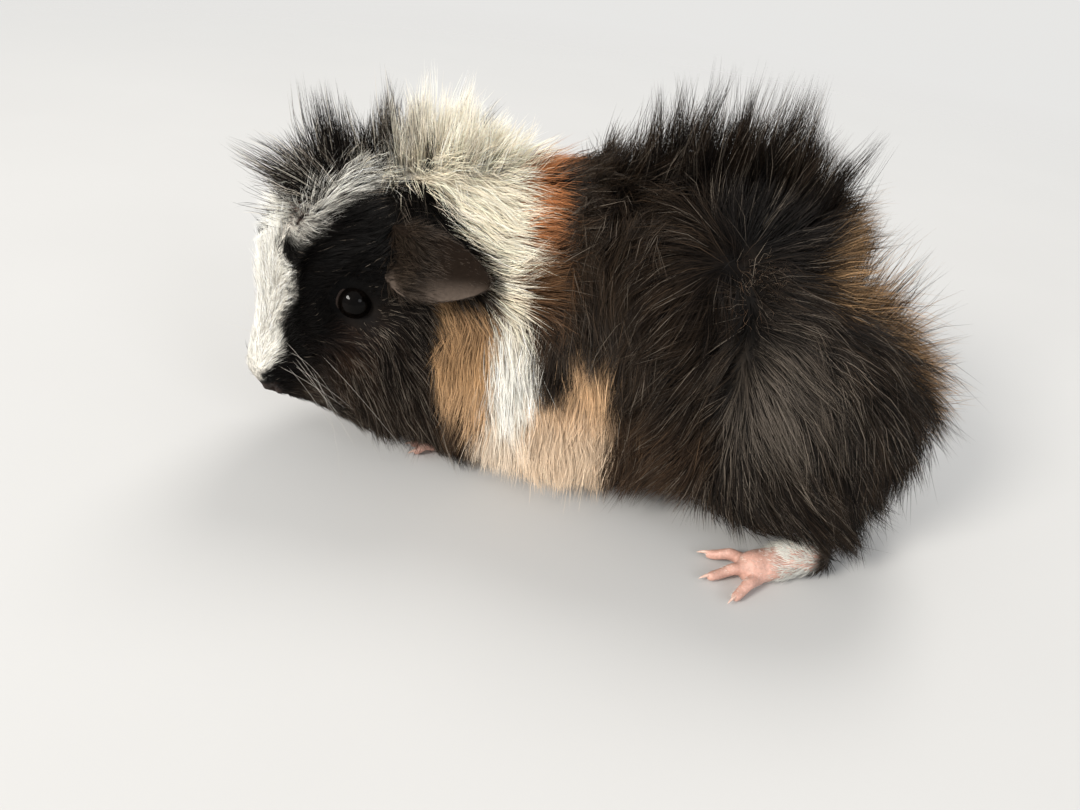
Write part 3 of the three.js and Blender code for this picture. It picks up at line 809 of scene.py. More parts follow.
class PigFaceSettings(bpy.types.PropertyGroup):
    eye: colour_setting("Eye", "Colour of the eyeball", (0.0014, 0.0010, 0.0008))
    lid: colour_setting("Lid", "Colour of the lid's bare rim", (0.036, 0.026, 0.022))
    whisker: colour_setting("Whisker", "Colour of the whiskers", (0.62, 0.58, 0.52))
    whisker_length: length_setting("Whisker length", "Length of the longest whisker", 33, 5, 80)
    claw: colour_setting("Claw", "Colour of the claws", (0.68, 0.46, 0.37))


class PigStageSettings(bpy.types.PropertyGroup):
    floor: colour_setting("Floor", "Colour of the floor", (0.55, 0.545, 0.535))
    lens: FloatProperty(
        name="Lens", description="Focal length of the camera", default=27.07, min=10, unit="CAMERA"
    )
    backdrop: colour_setting("Backdrop", "Colour seen behind the floor", (0.80, 0.795, 0.78))
    sky: FloatProperty(
        name="Sky light", description="Strength of the even light", default=0.62, min=0, subtype="FACTOR"
    )
    key: FloatProperty(
        name="Key light", description="Power of the main lamp", default=36.0, min=0, unit="POWER"
    )
    fill: FloatProperty(
        name="Fill light", description="Power of the softer lamp", default=9.0, min=0, unit="POWER"
    )


# ---- the skin ----------------------------------------------------------------------------------
def eye_frame(side):
    """Centre and radius of an eyeball, and the way it looks."""
    low, high = box_mm("eye_left" if side > 0 else "eye_right")
    radius = float((high - low).max() / 2) * 1.03
    look = unit(HEAD.way(0.16, side, 0.2))
    return (low + high) / 2 - look * EYE_DEPTH, radius, look


def refine(mesh, wanted):
    """Cuts the cells finer where wanted(points) is above a half."""
    picked = wanted(points_of(mesh)) > 0.5
    work = bmesh.new()
    work.from_mesh(mesh)
    work.verts.ensure_lookup_table()
    edges = [e for e in work.edges if picked[e.verts[0].index] and picked[e.verts[1].index]]
    bmesh.ops.subdivide_edges(work, edges=edges, cuts=1, use_grid_fill=True)
    work.to_mesh(mesh)
    work.free()


def fine_zone(p):
    """1 round the eyes and on the muzzle, where the skin is finer."""
    h = HEAD.own(p)
    zone = (h[:, 0] > 24).astype(float)
    for side in (1, -1):
        centre, radius, _ = eye_frame(side)
        zone[np.linalg.norm(p - centre, axis=1) < radius + 4.5] = 1
    return zone


def shape_lids(p):
    """Skin drawn over each eyeball, with an opening that shows the ball."""
    for side in (1, -1):
        centre, radius, look = eye_frame(side)
        away = p - centre
        r = np.linalg.norm(away, axis=1)
        way = away / np.maximum(r, 1e-6)[:, None]
        angle = np.degrees(np.arccos(np.clip(way @ look, -1, 1)))
        near = (1 - ease(r, radius + 4, radius + 7)) * (angle < 120)
        opening = 1 - ease(angle, EYE_OPENING, EYE_OPENING + 4)
        brow = 0.9 * np.exp(-(((angle - EYE_OPENING - 18) / 12) ** 2))
        hug = np.maximum(r, radius + 0.35 + brow)
        target = mix(hug, radius - 1.2, opening)
        r_new = mix(r, target, near)
        p = centre + way * r_new[:, None]
    return p


def shape_muzzle(p, normal):
    """Nostrils, the cleft lip and the mouth."""
    h = HEAD.own(p)
    sink = np.zeros(len(p))
    for side in (1, -1):
        nostril = np.array([[34.6, side * 1.6, -14.6], [32.2, side * 4.2, -11.6]])
        _, d, _ = along_line(h, nostril)
        sink += 1.5 * np.exp(-((d / 0.85) ** 2))
        sink -= 0.45 * np.exp(-(((d - 2.0) / 0.9) ** 2))
    cleft = np.exp(-((h[:, 1] / 0.55) ** 2))
    cleft = cleft * ease(-h[:, 2], 14.5, 16) * (1 - ease(-h[:, 2], 21, 22.5))
    sink += 0.9 * cleft * ease(h[:, 0], 28, 30)
    lips = np.abs(h[:, 2] + 21.0 + 0.035 * h[:, 1] ** 2)
    sink += 1.1 * np.exp(-((lips / 0.7) ** 2)) * ease(-np.abs(h[:, 1]), -7.5, -5) * ease(h[:, 0], 24, 27)
    return p - normal * sink[:, None]


def limb_points(a, b, r0, r1):
    """A round-ended limb as a closed mesh."""
    axis = unit(b - a)
    helper = np.array([0, 0, 1.0]) if abs(axis[2]) < 0.8 else np.array([1.0, 0, 0])
    across = unit(np.cross(axis, helper))
    turns = np.radians(np.linspace(-84, 0, 4))
    ends = [(a + axis * r0 * math.sin(t), r0 * math.cos(t)) for t in turns]
    ends += [(b + axis * r1 * math.sin(-t), r1 * math.cos(t)) for t in turns[::-1]]
    centres = np.array([c for c, _ in ends])
    radii = np.array([r for _, r in ends])
    return ring_tube(centres, radii, 14, across[None], np.cross(axis, across)[None])


def foot_plan(name):
    """Where a foot's heel, pad and toes lie, given for each foot by its name."""
    low, high = box_mm(name)
    side = -1 if name.endswith("left") else 1
    hind = name.startswith("hind")
    heading = math.pi - side * (0.52 if hind else 0.2)
    forward = np.array([math.cos(heading), math.sin(heading), 0])
    across = np.array([-math.sin(heading), math.cos(heading), 0])
    heel = spot(66, side * 33, 0) if hind else spot(-35, side * 19, 0)
    ball, width, height = (18.5, 11.5, 4.6) if hind else (12.4, 9.5, 4.0)
    toes = (-1.15, 0, 1.15) if hind else (-1.3, -0.45, 0.45, 1.3)
    reach, radius = (12, 1.65) if hind else (6.5, 1.45)
    return heel, forward, across, ball, width, height, toes, reach, radius


def toward_toes(p):
    """0 at the heel of the point's own foot and 1 where the toes part."""
    share = np.zeros(len(p))
    for name in FEET:
        heel, forward, _, ball, *_ = foot_plan(name)
        own = (side_of(p) == side_of(heel[None])) & ((p[:, 0] > FORE) == name.startswith("hind"))
        share = np.where(own, (p - heel) @ forward / ball, share)
    return share


def foot_shell(name):
    """A foot's skin with toes, knuckles and pads, as one even mesh."""
    heel, forward, across, ball, width, height, toes, reach, radius = foot_plan(name)

    def place(f, a, up):
        return heel + forward * f + across * a + np.array([0, 0, up])

    forms = [
        limb_points(place(1, 0, height + 1), place(ball * 0.55, 0, height), height, width * 0.38),
        limb_points(
            place(ball * 0.5, 0, height - 0.5), place(ball, 0, height * 0.68), width * 0.38, width * 0.40
        ),
    ]
    tips = []
    for i, fan in enumerate(toes):
        spread = (i - (len(toes) - 1) / 2) * (width / len(toes)) * 0.85
        stretch = reach * (1 - 0.16 * abs(fan))
        way = forward * math.cos(fan * 0.42) + across * math.sin(fan * 0.42)
        knuckle = place(ball, spread, radius + 0.6)
        bend = knuckle + way * stretch * 0.5
        bend[2] = radius + 1.7
        joint = knuckle + way * stretch * 0.8
        joint[2] = radius + 0.4
        tip = knuckle + way * stretch
        tip[2] = radius - 0.1
        forms.append(limb_points(knuckle, bend, radius * 1.1, radius * 1.02))
        forms.append(limb_points(bend, joint, radius * 0.98, radius * 0.86))
        forms.append(limb_points(joint, tip, radius * 0.88, radius * 0.80))
        tips.append((tip, way))
    shell = remeshed(smooth_mesh(name, *joined(forms)), LIMB_CELL)
    p = relaxed(points_of(shell), shell, 5, 0.5)
    p[:, 2] = np.maximum(p[:, 2], 0.02)
    set_points(shell, p)
    return shell, tips


class EarPlan:
    """An ear's middle and its own axes: along from root to tip, across, and outward from the head."""

    def __init__(self, name):
        p = points_of(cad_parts[name].data)
        self.side = 1 if name.endswith("left") else -1
        self.middle = p.mean(0)
        _, _, axes = np.linalg.svd(p - self.middle, full_matrices=False)
        away = self.middle - HEAD.place(-12, 0, 5)
        signs = [1 if axis @ away >= 0 else -1 for axis in axes]
        self.axes = np.array(signs)[:, None] * axes
        self.axes[2] *= 1 if self.axes[2] @ (self.side * HEAD.left) >= 0 else -1
        self.reach = np.abs(self.own(p)).max(0)

    def own(self, p):
        return (p - self.middle) @ self.axes.T


def ear_shell(name):
    """An ear as a thin leaf from its node, hollowed like a shallow bowl with a rolled rim."""
    plan = EarPlan(name)
    shell = remeshed(joined_shell([name], 0.0), LIMB_CELL)
    p = smoothed(points_of(shell), shell, 25)
    own = plan.own(p)
    u, v = own[:, 0] / plan.reach[0], own[:, 1] / plan.reach[1]
    r2 = np.clip(u * u + v * v, 0, 1)
    hollow = -1.5 * (1 - r2) + 0.7 * np.exp(-(((r2 - 0.86) / 0.12) ** 2))
    fold = 0.8 * np.exp(-(((v - 0.25 + 0.5 * u) / 0.16) ** 2)) * ease(-u, -0.5, 0.6)
    wave = 0.45 * ripple(p, 16, 61) * ease(u, -0.6, 0.6)
    buried = -5.0 * ease(-u, 0.45, 1.0)
    p = p + (hollow + fold + wave + buried)[:, None] * plan.axes[2]
    set_points(shell, p)
    return shell


def lid_rim(side):
    """The bare rim of the lids, as a soft ring round the opening."""
    centre, radius, look = eye_frame(side)
    across = unit(np.cross(look, HEAD.up))
    upward = np.cross(across, look)
    count, sides = 48, 8
    turns = 2 * math.pi * np.arange(count) / count
    lean = np.radians(EYE_OPENING + 3 + 2.0 * np.cos(2 * turns))
    way = (
        look[None] * np.cos(lean)[:, None]
        + across[None] * (np.sin(lean) * np.cos(turns))[:, None]
        + upward[None] * (np.sin(lean) * np.sin(turns))[:, None]
    )
    thick = 0.36 + 0.08 * np.sin(turns) ** 2
    middle = centre + way * (radius + 0.10)
    tangent = unit(np.roll(middle, -1, 0) - np.roll(middle, 1, 0))
    outward = unit(way - dot(way, tangent) * tangent)
    sideways = np.cross(tangent, outward)
    return ring_points(middle, thick, sides, outward, sideways), ring_quads(count, sides, closed=True)


class SkinBuild:
    """Collects the parts of the one skin."""

    def __init__(self):
        self.parts, self.slots, self.colours = [], [], []

    def add(self, co, faces, slot, colours):
        self.parts.append((co, faces))
        self.slots += [slot] * len(faces)
        self.colours.append(np.broadcast_to(colours, (len(co), 3)))

    def finish(self, name, materials):
        mesh = smooth_mesh(name, *joined(self.parts))
        mesh.polygons.foreach_set("material_index", np.array(self.slots, np.int32))
        set_colours(mesh, np.concatenate(self.colours))
        for material in materials:
            mesh.materials.append(material)
        mesh.update()
        return add_object(name, mesh)


def faces_of(mesh):
    return [tuple(f.vertices) for f in mesh.polygons]


def palette_of(settings):
    return {name: np.array(getattr(settings, name)) for name in PALETTE}


class PIG_OT_skin(bpy.types.Operator):
    """Builds the one skin of body, legs, feet, ears and lids inside the coat"""

    bl_idname = "pig.skin"
    bl_label = "Skin"

    def execute(self, context):
        settings = context.scene.pig_skin
        cell = settings.cell / UNIT
        palette = palette_of(context.scene.pig_coat)
        shell = remeshed(joined_shell(FLESH, FUSE), cell * 1.15)
        keep_largest(shell)
        p = smoothed(points_of(shell), shell, 45)
        set_points(shell, p)
        n = normals_of(shell)
        p = smoothed(p - n * coat_depth(p)[:, None], shell, 8)
        set_points(shell, p)
        skin = remeshed(shell, cell)
        keep_largest(skin)
        refine(skin, fine_zone)
        p = smoothed(points_of(skin), skin, 5)
        p = shape_lids(p)
        set_points(skin, p)
        p = shape_muzzle(p, normals_of(skin))
        p[:, 2] = np.maximum(p[:, 2], SKIN_LOWEST)
        set_points(skin, p)
        colours = markings(p, 0, palette)
        # under dark coat the skin is painted darker than the coat, a painted shade in the gaps between tufts;
        # under pale coat it takes the undercoat's tinge
        pale = ease(colours.mean(1), 0.2, 0.4)[:, None]
        undercoat = mix(colours, UNDERCOAT, 0.15)
        colours = mix(colours * 0.4, undercoat, pale)
        h = HEAD.own(p)
        nose = ease(h[:, 0], 30.5, 32) * ease(-h[:, 2], 9.0, 10.5)
        colours = mix(colours, np.array(settings.nose_skin), nose[:, None])
        pink = np.exp(-((np.linalg.norm(p - WHORL, axis=1) / 4.5) ** 2))
        colours = mix(colours, PINK, pink[:, None] * 0.9)
        build = SkinBuild()
        build.add(p, faces_of(skin), 0, colours)
        for side in (1, -1):
            build.add(*lid_rim(side), 2, np.array(context.scene.pig_face.lid))
        for name in FEET:
            foot, _ = foot_shell(name)
            p = points_of(foot)
            bare = np.array(settings.foot_skin) * (1 + 0.12 * ripple(p, 4, 8))[:, None]
            bare = mix(palette["umber"], bare, ease(toward_toes(p), 0.05, 0.25)[:, None])
            build.add(p, faces_of(foot), 1, bare)
        for name in EARS:
            ear = ear_shell(name)
            p = points_of(ear)
            low, _ = box_mm(name)
            lobe = ease(-p[:, 2], -(low[2] + 7), -(low[2] + 1))
            shade = mix(np.array(settings.ear_skin), LOBE, lobe[:, None])
            build.add(p, faces_of(ear), 2, shade)
        made = build.finish(
            "skin",
            [
                skin_material("undercoat_skin", 0.7, 0.10, 900.0, 0.25),
                skin_material("foot_skin", 0.48, 0.45, 1300.0, 0.22),
                skin_material("ear_skin", 0.7, 0.05, 900.0, 0.4),
            ],
        )
        unwrap(made)
        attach(made, "root")
        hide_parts(*FLESH, *FEET, *EARS)
        return {"FINISHED"}


def unwrap(skin):
    """Lays the skin out flat in its own islands, for the places of the tufts."""
    bpy.context.view_layer.objects.active = skin
    skin.select_set(True)
    bpy.ops.object.mode_set(mode="EDIT")
    bpy.ops.mesh.select_all(action="SELECT")
    bpy.ops.uv.smart_project(angle_limit=math.radians(72), island_margin=0.002)
    bpy.ops.object.mode_set(mode="OBJECT")
    skin.select_set(False)
    skin.data.uv_layers.active.name = "OFBake"


# ---- the coat ------------------------------------------------------------------------------------
class Ground:
    """The skin's triangles, from which roots are drawn."""

    def __init__(self, slots):
        mesh = bpy.data.objects["skin"].data
        mesh.calc_loop_triangles()
        tris = mesh.loop_triangles
        loops, polys = (read(tris, field, k, np.int32) for field, k in (("loops", 3), ("polygon_index", 1)))
        keep = np.isin(read(mesh.polygons, "material_index", 1, np.int32)[polys[:, 0], 0], slots)
        self.verts = read(tris, "vertices", 3, np.int32)[keep]
        self.co = points_of(mesh)
        self.normal = normals_of(mesh)
        self.uv = read(mesh.uv_layers["OFBake"].data, "uv", 2)[loops[keep]]
        a, b, c = (self.co[self.verts[:, k]] for k in range(3))
        self.area = np.linalg.norm(np.cross(b - a, c - a), axis=1) / 2
        self.middle = (a + b + c) / 3

    def draw(self, per_mm2, rng):
        """Roots at the given density for each triangle: places, normals and places on the unwrap."""
        wanted = self.area * per_mm2
        count = np.floor(wanted + rng.random(len(wanted))).astype(int)
        which = np.repeat(np.arange(len(count)), count)
        share = rng.dirichlet((1, 1, 1), len(which))
        tri = self.verts[which]
        root = np.einsum("nk,nkd->nd", share, self.co[tri])
        normal = unit(np.einsum("nk,nkd->nd", share, self.normal[tri]))
        uv = np.einsum("nk,nkd->nd", share, self.uv[which])
        return root, normal, uv


def clump(roots, ends, spacing, pull, rng):
    """Ends drawn towards those of neighbours, so that the hair falls in wisps."""
    count = max(1, int(len(roots) / spacing))
    heads = rng.choice(len(roots), count, replace=False)
    tree = kdtree.KDTree(count)
    for i, k in enumerate(heads):
        tree.insert(roots[k], i)
    tree.balance()
    owner = np.array([heads[tree.find(r)[1]] for r in roots])
    shift = (ends[owner] - roots[owner]) + roots[owner] - ends
    reach = np.linalg.norm(shift, axis=1, keepdims=True)
    length = np.linalg.norm(ends - roots, axis=1, keepdims=True)
    return ends + shift * pull * np.minimum(1, 0.6 * length / np.maximum(reach, 1e-6))


def build_tufts(name, root, bend, end, normal, width, colour, uv, rings, curl, turns, rng):
    """One mesh of tapering three-sided tufts from root by bend to end."""
    count, corners = len(root), 3 * rings + 1
    steps = np.linspace(0, 1, rings + 1)[:-1] ** 0.9
    run = unit(end - root)
    random = unit(rng.normal(size=(count, 3)))
    across = unit(np.cross(run, random))
    upward = np.cross(run, across)
    swing = rng.uniform(0, 2 * math.pi, (count, 2))
    # each tuft is shaded partly as a round strand and partly as the surface that it lies on
    shading = np.repeat(SOFT_SHADE * flat_on(normal, run)[:, None], corners, 1)
    co = np.empty((count, corners, 3))
    along = np.empty((count, corners))
    for i, t in enumerate(steps):
        centre = (1 - t) ** 2 * root + 2 * t * (1 - t) * bend + t * t * end
        wave = curl[:, None] * t * np.sin(swing + turns * t)
        centre = centre + across * wave[:, :1] + upward * wave[:, 1:]
        r = (width * (1 - 0.75 * t**1.6) / 2)[:, None]
        for j in range(3):
            angle = 2 * math.pi * j / 3
            spoke = math.cos(angle) * across + math.sin(angle) * upward
            co[:, 3 * i + j] = centre + r * spoke
            shading[:, 3 * i + j] += spoke
        along[:, 3 * i : 3 * i + 3] = t
    co[:, -1] = end + across * (curl * np.sin(swing[:, 0] + turns))[:, None]
    along[:, -1] = 1
    shading[:, -1] += 0.3 * run
    base = (np.arange(count) * corners)[:, None, None]
    last = 3 * (rings - 1)
    tris = [(0, 2, 1)] + [(last + j, last + (j + 1) % 3, last + 3) for j in range(3)]
    quads = (np.array(ring_quads(rings, 3))[None] + base).reshape(-1, 4)
    tris = (np.array(tris)[None] + base).reshape(-1, 3)
    mesh = mesh_of(name, co.reshape(-1, 3), quads, tris)
    mesh.normals_split_custom_set_from_vertices(unit(shading).reshape(-1, 3))
    # painted shade: each tuft is darker at its root than at its tip, strongly for dark hair and slightly for
    # pale
    root_shade = mix(0.20, 0.98, ease(colour.mean(1), 0.05, 0.5))[:, None]
    tone = root_shade + (1.06 - root_shade) * np.minimum(along / 0.7, 1)
    set_colours(mesh, (colour[:, None] * tone[:, :, None]).reshape(-1, 3))
    set_along(mesh, along.ravel())
    patch = np.empty((count, corners, 2))
    patch[:, :, 0] = uv[:, :1] + BAKE_PATCH * (np.arange(corners) % 3 - 1)[None] / 3
    patch[:, :, 1] = uv[:, 1:] + BAKE_PATCH * (along - 0.5)
    layer = mesh.uv_layers.new(name="OFBake")
    loops = np.concatenate([quads.ravel(), tris.ravel()])
    places = np.clip(patch.reshape(-1, 2), 0, 1)[loops]
    layer.data.foreach_set("uv", places.astype(np.float32).ravel())
    return add_object(name, mesh)


def ear_tree():
    """The ears and lids as a tree that rays can be cast against, in millimetres."""
    mesh = bpy.data.objects["skin"].data
    faces = [tuple(f.vertices) for f in mesh.polygons if f.material_index == 2]
    used = sorted({i for f in faces for i in f})
    renumber = {old: new for new, old in enumerate(used)}
    co = points_of(mesh)[used]
    return BVHTree.FromPolygons(co.tolist(), [[renumber[i] for i in f] for f in faces]), co


def clear_of_ears(base, bend, end):
    """False for each tuft that would pierce an ear or a lid."""
    tree, co = ear_tree()
    middle = 0.25 * base + 0.5 * bend + 0.25 * end
    clear = np.ones(len(base), bool)
    low, high = co.min(0) - 2, co.max(0) + 2
    for i in np.flatnonzero(((middle > low) & (middle < high)).all(1)):
        for a, b in ((base[i], middle[i]), (middle[i], end[i])):
            if clear[i] and tree.ray_cast(Vector(a), Vector(b - a), float(np.linalg.norm(b - a)))[0]:
                clear[i] = False
    return clear


def raised(flow, normal, angle):
    """The flow turned up from the surface, by an angle in radians at each point."""
    angle = angle[:, None]
    return flow * np.cos(angle) + normal * np.sin(angle)


class CoatLie:
    """How the coat of the head and body grows: length, direction, width and colour of each tuft."""

    slots = (0,)
    rings = 2
    spacing, pull = 13, 0.5
    length_spread = (0.70, 1.22)
    guard_share = 0.07
    turns = 5.0

    def __init__(self, settings):
        self.settings = settings
        self.palette = palette_of(settings)

    def lay(self, root, normal, rng):
        """Length of each tuft, and its direction in its first and its second half."""
        count = len(root)
        share = head_share(root)
        length = coat_length(root) * rng.uniform(*self.length_spread, count)
        flow = coat_flow(root, normal)
        sideways = np.cross(normal, flow)
        sway = mix(0.38, 0.24, share) * ripple(root, 11, 21)
        sway = sway + mix(0.20, 0.12, share) * rng.normal(size=count)
        flow = unit(flow + sideways * sway[:, None])
        guard = rng.random(count) < self.guard_share * (1 - 0.5 * share)
        length = np.where(guard, length * 1.3, length)
        lift = coat_lift(root) + rng.normal(0, 5, count) + np.where(guard, 10, 0)
        d1 = raised(flow, normal, np.radians(lift + 18))
        d2 = raised(flow, normal, np.radians(np.maximum(lift - 10, 2)))
        d2 = unit(d2 + np.array([0, 0, -0.12]) * (1 - share)[:, None])
        return length, d1, d2

    def lowest(self, root):
        """Height below which no tip hangs: the hem rises from the elbow to the haunch."""
        x = root[:, 0] - FORE
        hem = np.interp(x, [-40, -8, 8, 30, 54, 60], [1.5, 3.0, 5.0, 8.5, 8.5, 3.0])
        return np.minimum(hem, np.maximum(root[:, 2] - 1.5, 0.4))

    def width(self, root):
        return mix(self.settings.width, self.settings.face_width, head_share(root)) / UNIT

    def curl(self, root):
        return mix(0.55, 0.12, head_share(root))

    def colour(self, root, middle, rng):
        """The markings at the middle of each tuft, lighter or darker hair by hair, with pale glint hairs that
        are partly a painted highlight, crowded on the lit front of the haunch.
        """
        feather = mix(1.5, 0.5, head_share(root))
        jitter = rng.normal(size=root.shape) * feather[:, None]
        h = HEAD.own(middle)
        mask = head_share(root) * ease(h[:, 2] + 0.5 * h[:, 0], -6, 2)
        own = on_left(middle)
        # lit: the front of the haunch where the lamp falls, given more glint hairs as a painted highlight
        lit = np.exp(-(((own[:, 0] - FORE - 46) / 16) ** 2 + ((own[:, 2] - 46) / 20) ** 2))
        lit = lit * (own[:, 1] < -20)
        _, core, _ = along_line(own, HIP_ROSETTE)
        share = (1 - 0.95 * mask) * (0.55 + 2.0 * lit + 1.0 * head_share(root))
        share = share * mix(0.10, 1.0, ease(core, 9, 19))
        return self.strayed(markings(middle, jitter, self.palette), rng, share)

    def strayed(self, colour, rng, share=1.0):
        count = len(colour)
        dark = 1 - ease(colour.mean(1), 0.03, 0.10)
        shade = np.exp(rng.normal(0, 1, count) * mix(0.13, 0.45, dark))[:, None]
        # pale hairs of the glint colour: partly real pale hairs, partly a painted highlight on the dark coat
        pale_hair_and_glint = (rng.random(count) < 0.13 * share) * dark * rng.uniform(0.2, 1.0, count)
        varied = colour * shade
        return np.clip(mix(varied, np.array(self.settings.glint), pale_hair_and_glint[:, None]), 0.0012, 0.96)


class CrestLie(CoatLie):
    """Hair that stands up along a line where the coat meets."""

    rings = 3
    spacing, pull = 18, 0.65
    bias = 2.0  # how much commoner the short hair is than the long

    def __init__(self, settings, line, half_width, low, high, lean):
        super().__init__(settings)
        self.line, self.half_width, self.low, self.high, self.lean = line, half_width, low, high, lean

    def lay(self, root, normal, rng):
        near, distance, share = along_line(root, self.line)
        stops = np.linspace(0, 1, len(self.lean))
        way = np.stack([np.interp(share, stops, [v[k] for v in self.lean]) for k in range(3)], 1)
        outward = unit(root - near) * np.clip(distance / self.half_width, 0, 1)[:, None]
        wander = 0.26 * np.stack([ripple(root, 9, s) for s in (31, 32, 33)], 1)
        d1 = unit(0.7 * normal + way + 0.35 * outward + wander + 0.16 * rng.normal(size=root.shape))
        d2 = unit(d1 + 0.25 * way + 0.30 * outward + 0.20 * rng.normal(size=root.shape))
        shortest, longest = np.interp(share, stops, self.low), np.interp(share, stops, self.high)
        length = mix(shortest, longest, rng.random(len(root)) ** self.bias)
        return length * (1 - 0.4 * (distance / self.half_width) ** 2), d1, d2

    def width(self, root):
        return 0.9 * self.settings.width / UNIT


class CrownLie(CrestLie):
    """The crown's crest: black over the brow, white behind."""

    spacing, pull = 24, 0.70
    bias = 1.7

    def colour(self, root, middle, rng):
        _, _, share = along_line(root, self.line)
        streak = ripple(root, 7, 41)
        pale = ease(share + 0.05 * streak, 0.58, 0.64) * (1 - ease(streak, 0.75, 1.0))
        pale = np.maximum(pale, 0.8 * (rng.random(len(root)) < 0.10 * (1 - share)))
        warm = mix(self.palette["white"], self.palette["ivory"], 0.45)
        return self.strayed(mix(self.palette["black"], warm, pale[:, None]), rng)


class RidgeLie(CrestLie):
    """The crest of the back and rump: black with brown-grey tips."""

    spacing, pull = 26, 0.72
    bias = 1.9

    def colour(self, root, middle, rng):
        brown = np.clip(0.25 + 0.4 * ripple(root, 8, 42), 0, 1)[:, None]
        return self.strayed(mix(self.palette["black"], self.palette["umber"], brown), rng)


class FringeLie(CrestLie):
    """Sparse long ginger hair that stands out from the end of the rump."""

    spacing, pull = 9, 0.6

    def colour(self, root, middle, rng):
        tone = rng.random((len(root), 1))
        return mix(mix(self.palette["golden"], self.palette["tan"], tone), self.palette["umber"], tone < 0.3)


class FrizzLie(CoatLie):
    """Thin pale curls in the rosettes of the hips and low on the flanks."""

    rings = 8
    spacing, pull = 3, 0.3
    turns = 7.5

    def lay(self, root, normal, rng):
        count = len(root)
        flow = unit(coat_flow(root, normal) + 1.3 * unit(rng.normal(size=(count, 3))))
        lift = np.radians(rng.uniform(15, 50, count))[:, None]
        d1 = unit(flow * np.cos(lift) + normal * (0.3 + np.sin(lift)))
        return rng.uniform(5, 10, count), d1, unit(flow + 0.1 * normal)

    def width(self, root):
        return 0.065

    def curl(self, root):
        return 1.3

    def colour(self, root, middle, rng):
        tone = rng.random((len(root), 1))
        return mix(self.palette["golden"], np.array(self.settings.glint) * 1.25, tone)


class FootLie(CoatLie):
    """Short fur over the back of a foot."""

    slots = (1,)
    spacing, pull = 5, 0.3

    def furry(self, root):
        """1 on the instep, 0 at the toes."""
        return 1 - ease(toward_toes(root), 0.45, 1.0)

    def lay(self, root, normal, rng):
        count = len(root)
        forward = np.array([-0.87, 0, 0])
        flow = unit(flat_on(forward, normal) + 0.15 * rng.normal(size=(count, 3)))
        d1 = raised(flow, normal, np.radians(rng.uniform(12, 26, count)))
        d2 = unit(d1 - 0.3 * normal)
        return mix(1.7, 4.6, self.furry(root)) * rng.uniform(0.7, 1.15, count), d1, d2

    def lowest(self, root):
        return 0.3

    def width(self, root):
        return mix(0.10, 0.24, self.furry(root))

    def curl(self, root):
        return 0.08

    def colour(self, root, middle, rng):
        # the instep's white is dimmed to 0.85, a painted shade
        white, umber = self.palette["white"] * 0.85, self.palette["umber"]
        heel = 1 - ease(toward_toes(root), 0.0, 0.2)
        return self.strayed(mix(white, umber, (heel * (root[:, 0] > 0))[:, None]), rng)


class EarLie(CoatLie):
    """Fine hair over an ear, longest at its root."""

    slots = (2,)
    spacing, pull = 6, 0.3

    def __init__(self, settings, plan):
        super().__init__(settings)
        self.plan = plan

    def rootward(self, p):
        """1 at the root of the ear, 0 from its middle to the tip."""
        return 1 - ease(self.plan.own(p)[:, 0] / self.plan.reach[0], -0.95, 0.35)

    def lay(self, root, normal, rng):
        count = len(root)
        flow = unit(flat_on(self.plan.axes[0], normal) + 0.18 * rng.normal(size=(count, 3)))
        lift = rng.uniform(6, 16, count) + 10 * self.rootward(root)
        d1 = raised(flow, normal, np.radians(lift))
        d2 = unit(d1 - 0.25 * normal)
        return (2.3 + 4.9 * self.rootward(root)) * rng.uniform(0.6, 1.2, count), d1, d2

    def width(self, root):
        return 0.12 + 0.07 * self.rootward(root)

    def curl(self, root):
        return 0.10

    def colour(self, root, middle, rng):
        hair = mix(EAR_HAIR, EAR_ROOT_HAIR, self.rootward(root)[:, None])
        return hair * np.exp(np.minimum(rng.normal(-0.1, 0.5, len(root)), 0.5))[:, None]


def grow(context, name, lie, density, seed):
    """Covers part of the skin with tufts that lie as told, at a density per square millimetre."""
    settings = context.scene.pig_coat
    rng = np.random.default_rng(settings.seed + seed)
    ground = Ground(lie.slots)
    thin = 1.0
    root, normal, uv = ground.draw(density(ground.middle) * settings.density * thin, rng)
    length, d1, d2 = lie.lay(root, normal, rng)
    base = root - normal * ROOT_SUNK
    bend = base + d1 * (0.5 * length)[:, None]
    end = base + d1 * (0.42 * length)[:, None] + d2 * (0.55 * length)[:, None]
    end = clump(base, end, lie.spacing, lie.pull, rng)
    for point in (bend, end):
        point[:, 2] = np.maximum(point[:, 2], lie.lowest(root))
    if lie.slots == (0,):
        keep = clear_of_ears(base, bend, end)
        root, normal, uv, base, bend, end = (v[keep] for v in (root, normal, uv, base, bend, end))
    count = len(root)
    width = lie.width(root) * rng.uniform(0.65, 1.2, count)
    colour = lie.colour(root, mix(root, end, 0.55), rng)
    curl = lie.curl(root) * rng.uniform(0.2, 1.0, count)
    made = build_tufts(name, base, bend, end, normal, width, colour, uv, lie.rings, curl, lie.turns, rng)
    made.data.materials.append(hair_material())
    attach(made, "root")
    return made


def off_bare(p):
    """0 on the eye openings, the nose leather and the pink of the whorl, 1 elsewhere."""
    h = HEAD.own(p)
    keep = np.ones(len(p))
    for side in (1, -1):
        centre, radius, look = eye_frame(side)
        away = p - centre
        r = np.linalg.norm(away, axis=1)
        angle = np.degrees(np.arccos(np.clip((away @ look) / np.maximum(r, 1e-6), -1, 1)))
        keep[(r < radius + 1.3) & (angle < EYE_OPENING + 6)] = 0
    keep[(h[:, 0] > 31) & (np.abs(h[:, 1]) < 4.6) & (h[:, 2] < -9.5) & (h[:, 2] > -16)] = 0
    keep[np.linalg.norm(p - WHORL, axis=1) < 1.6] = 0
    return keep


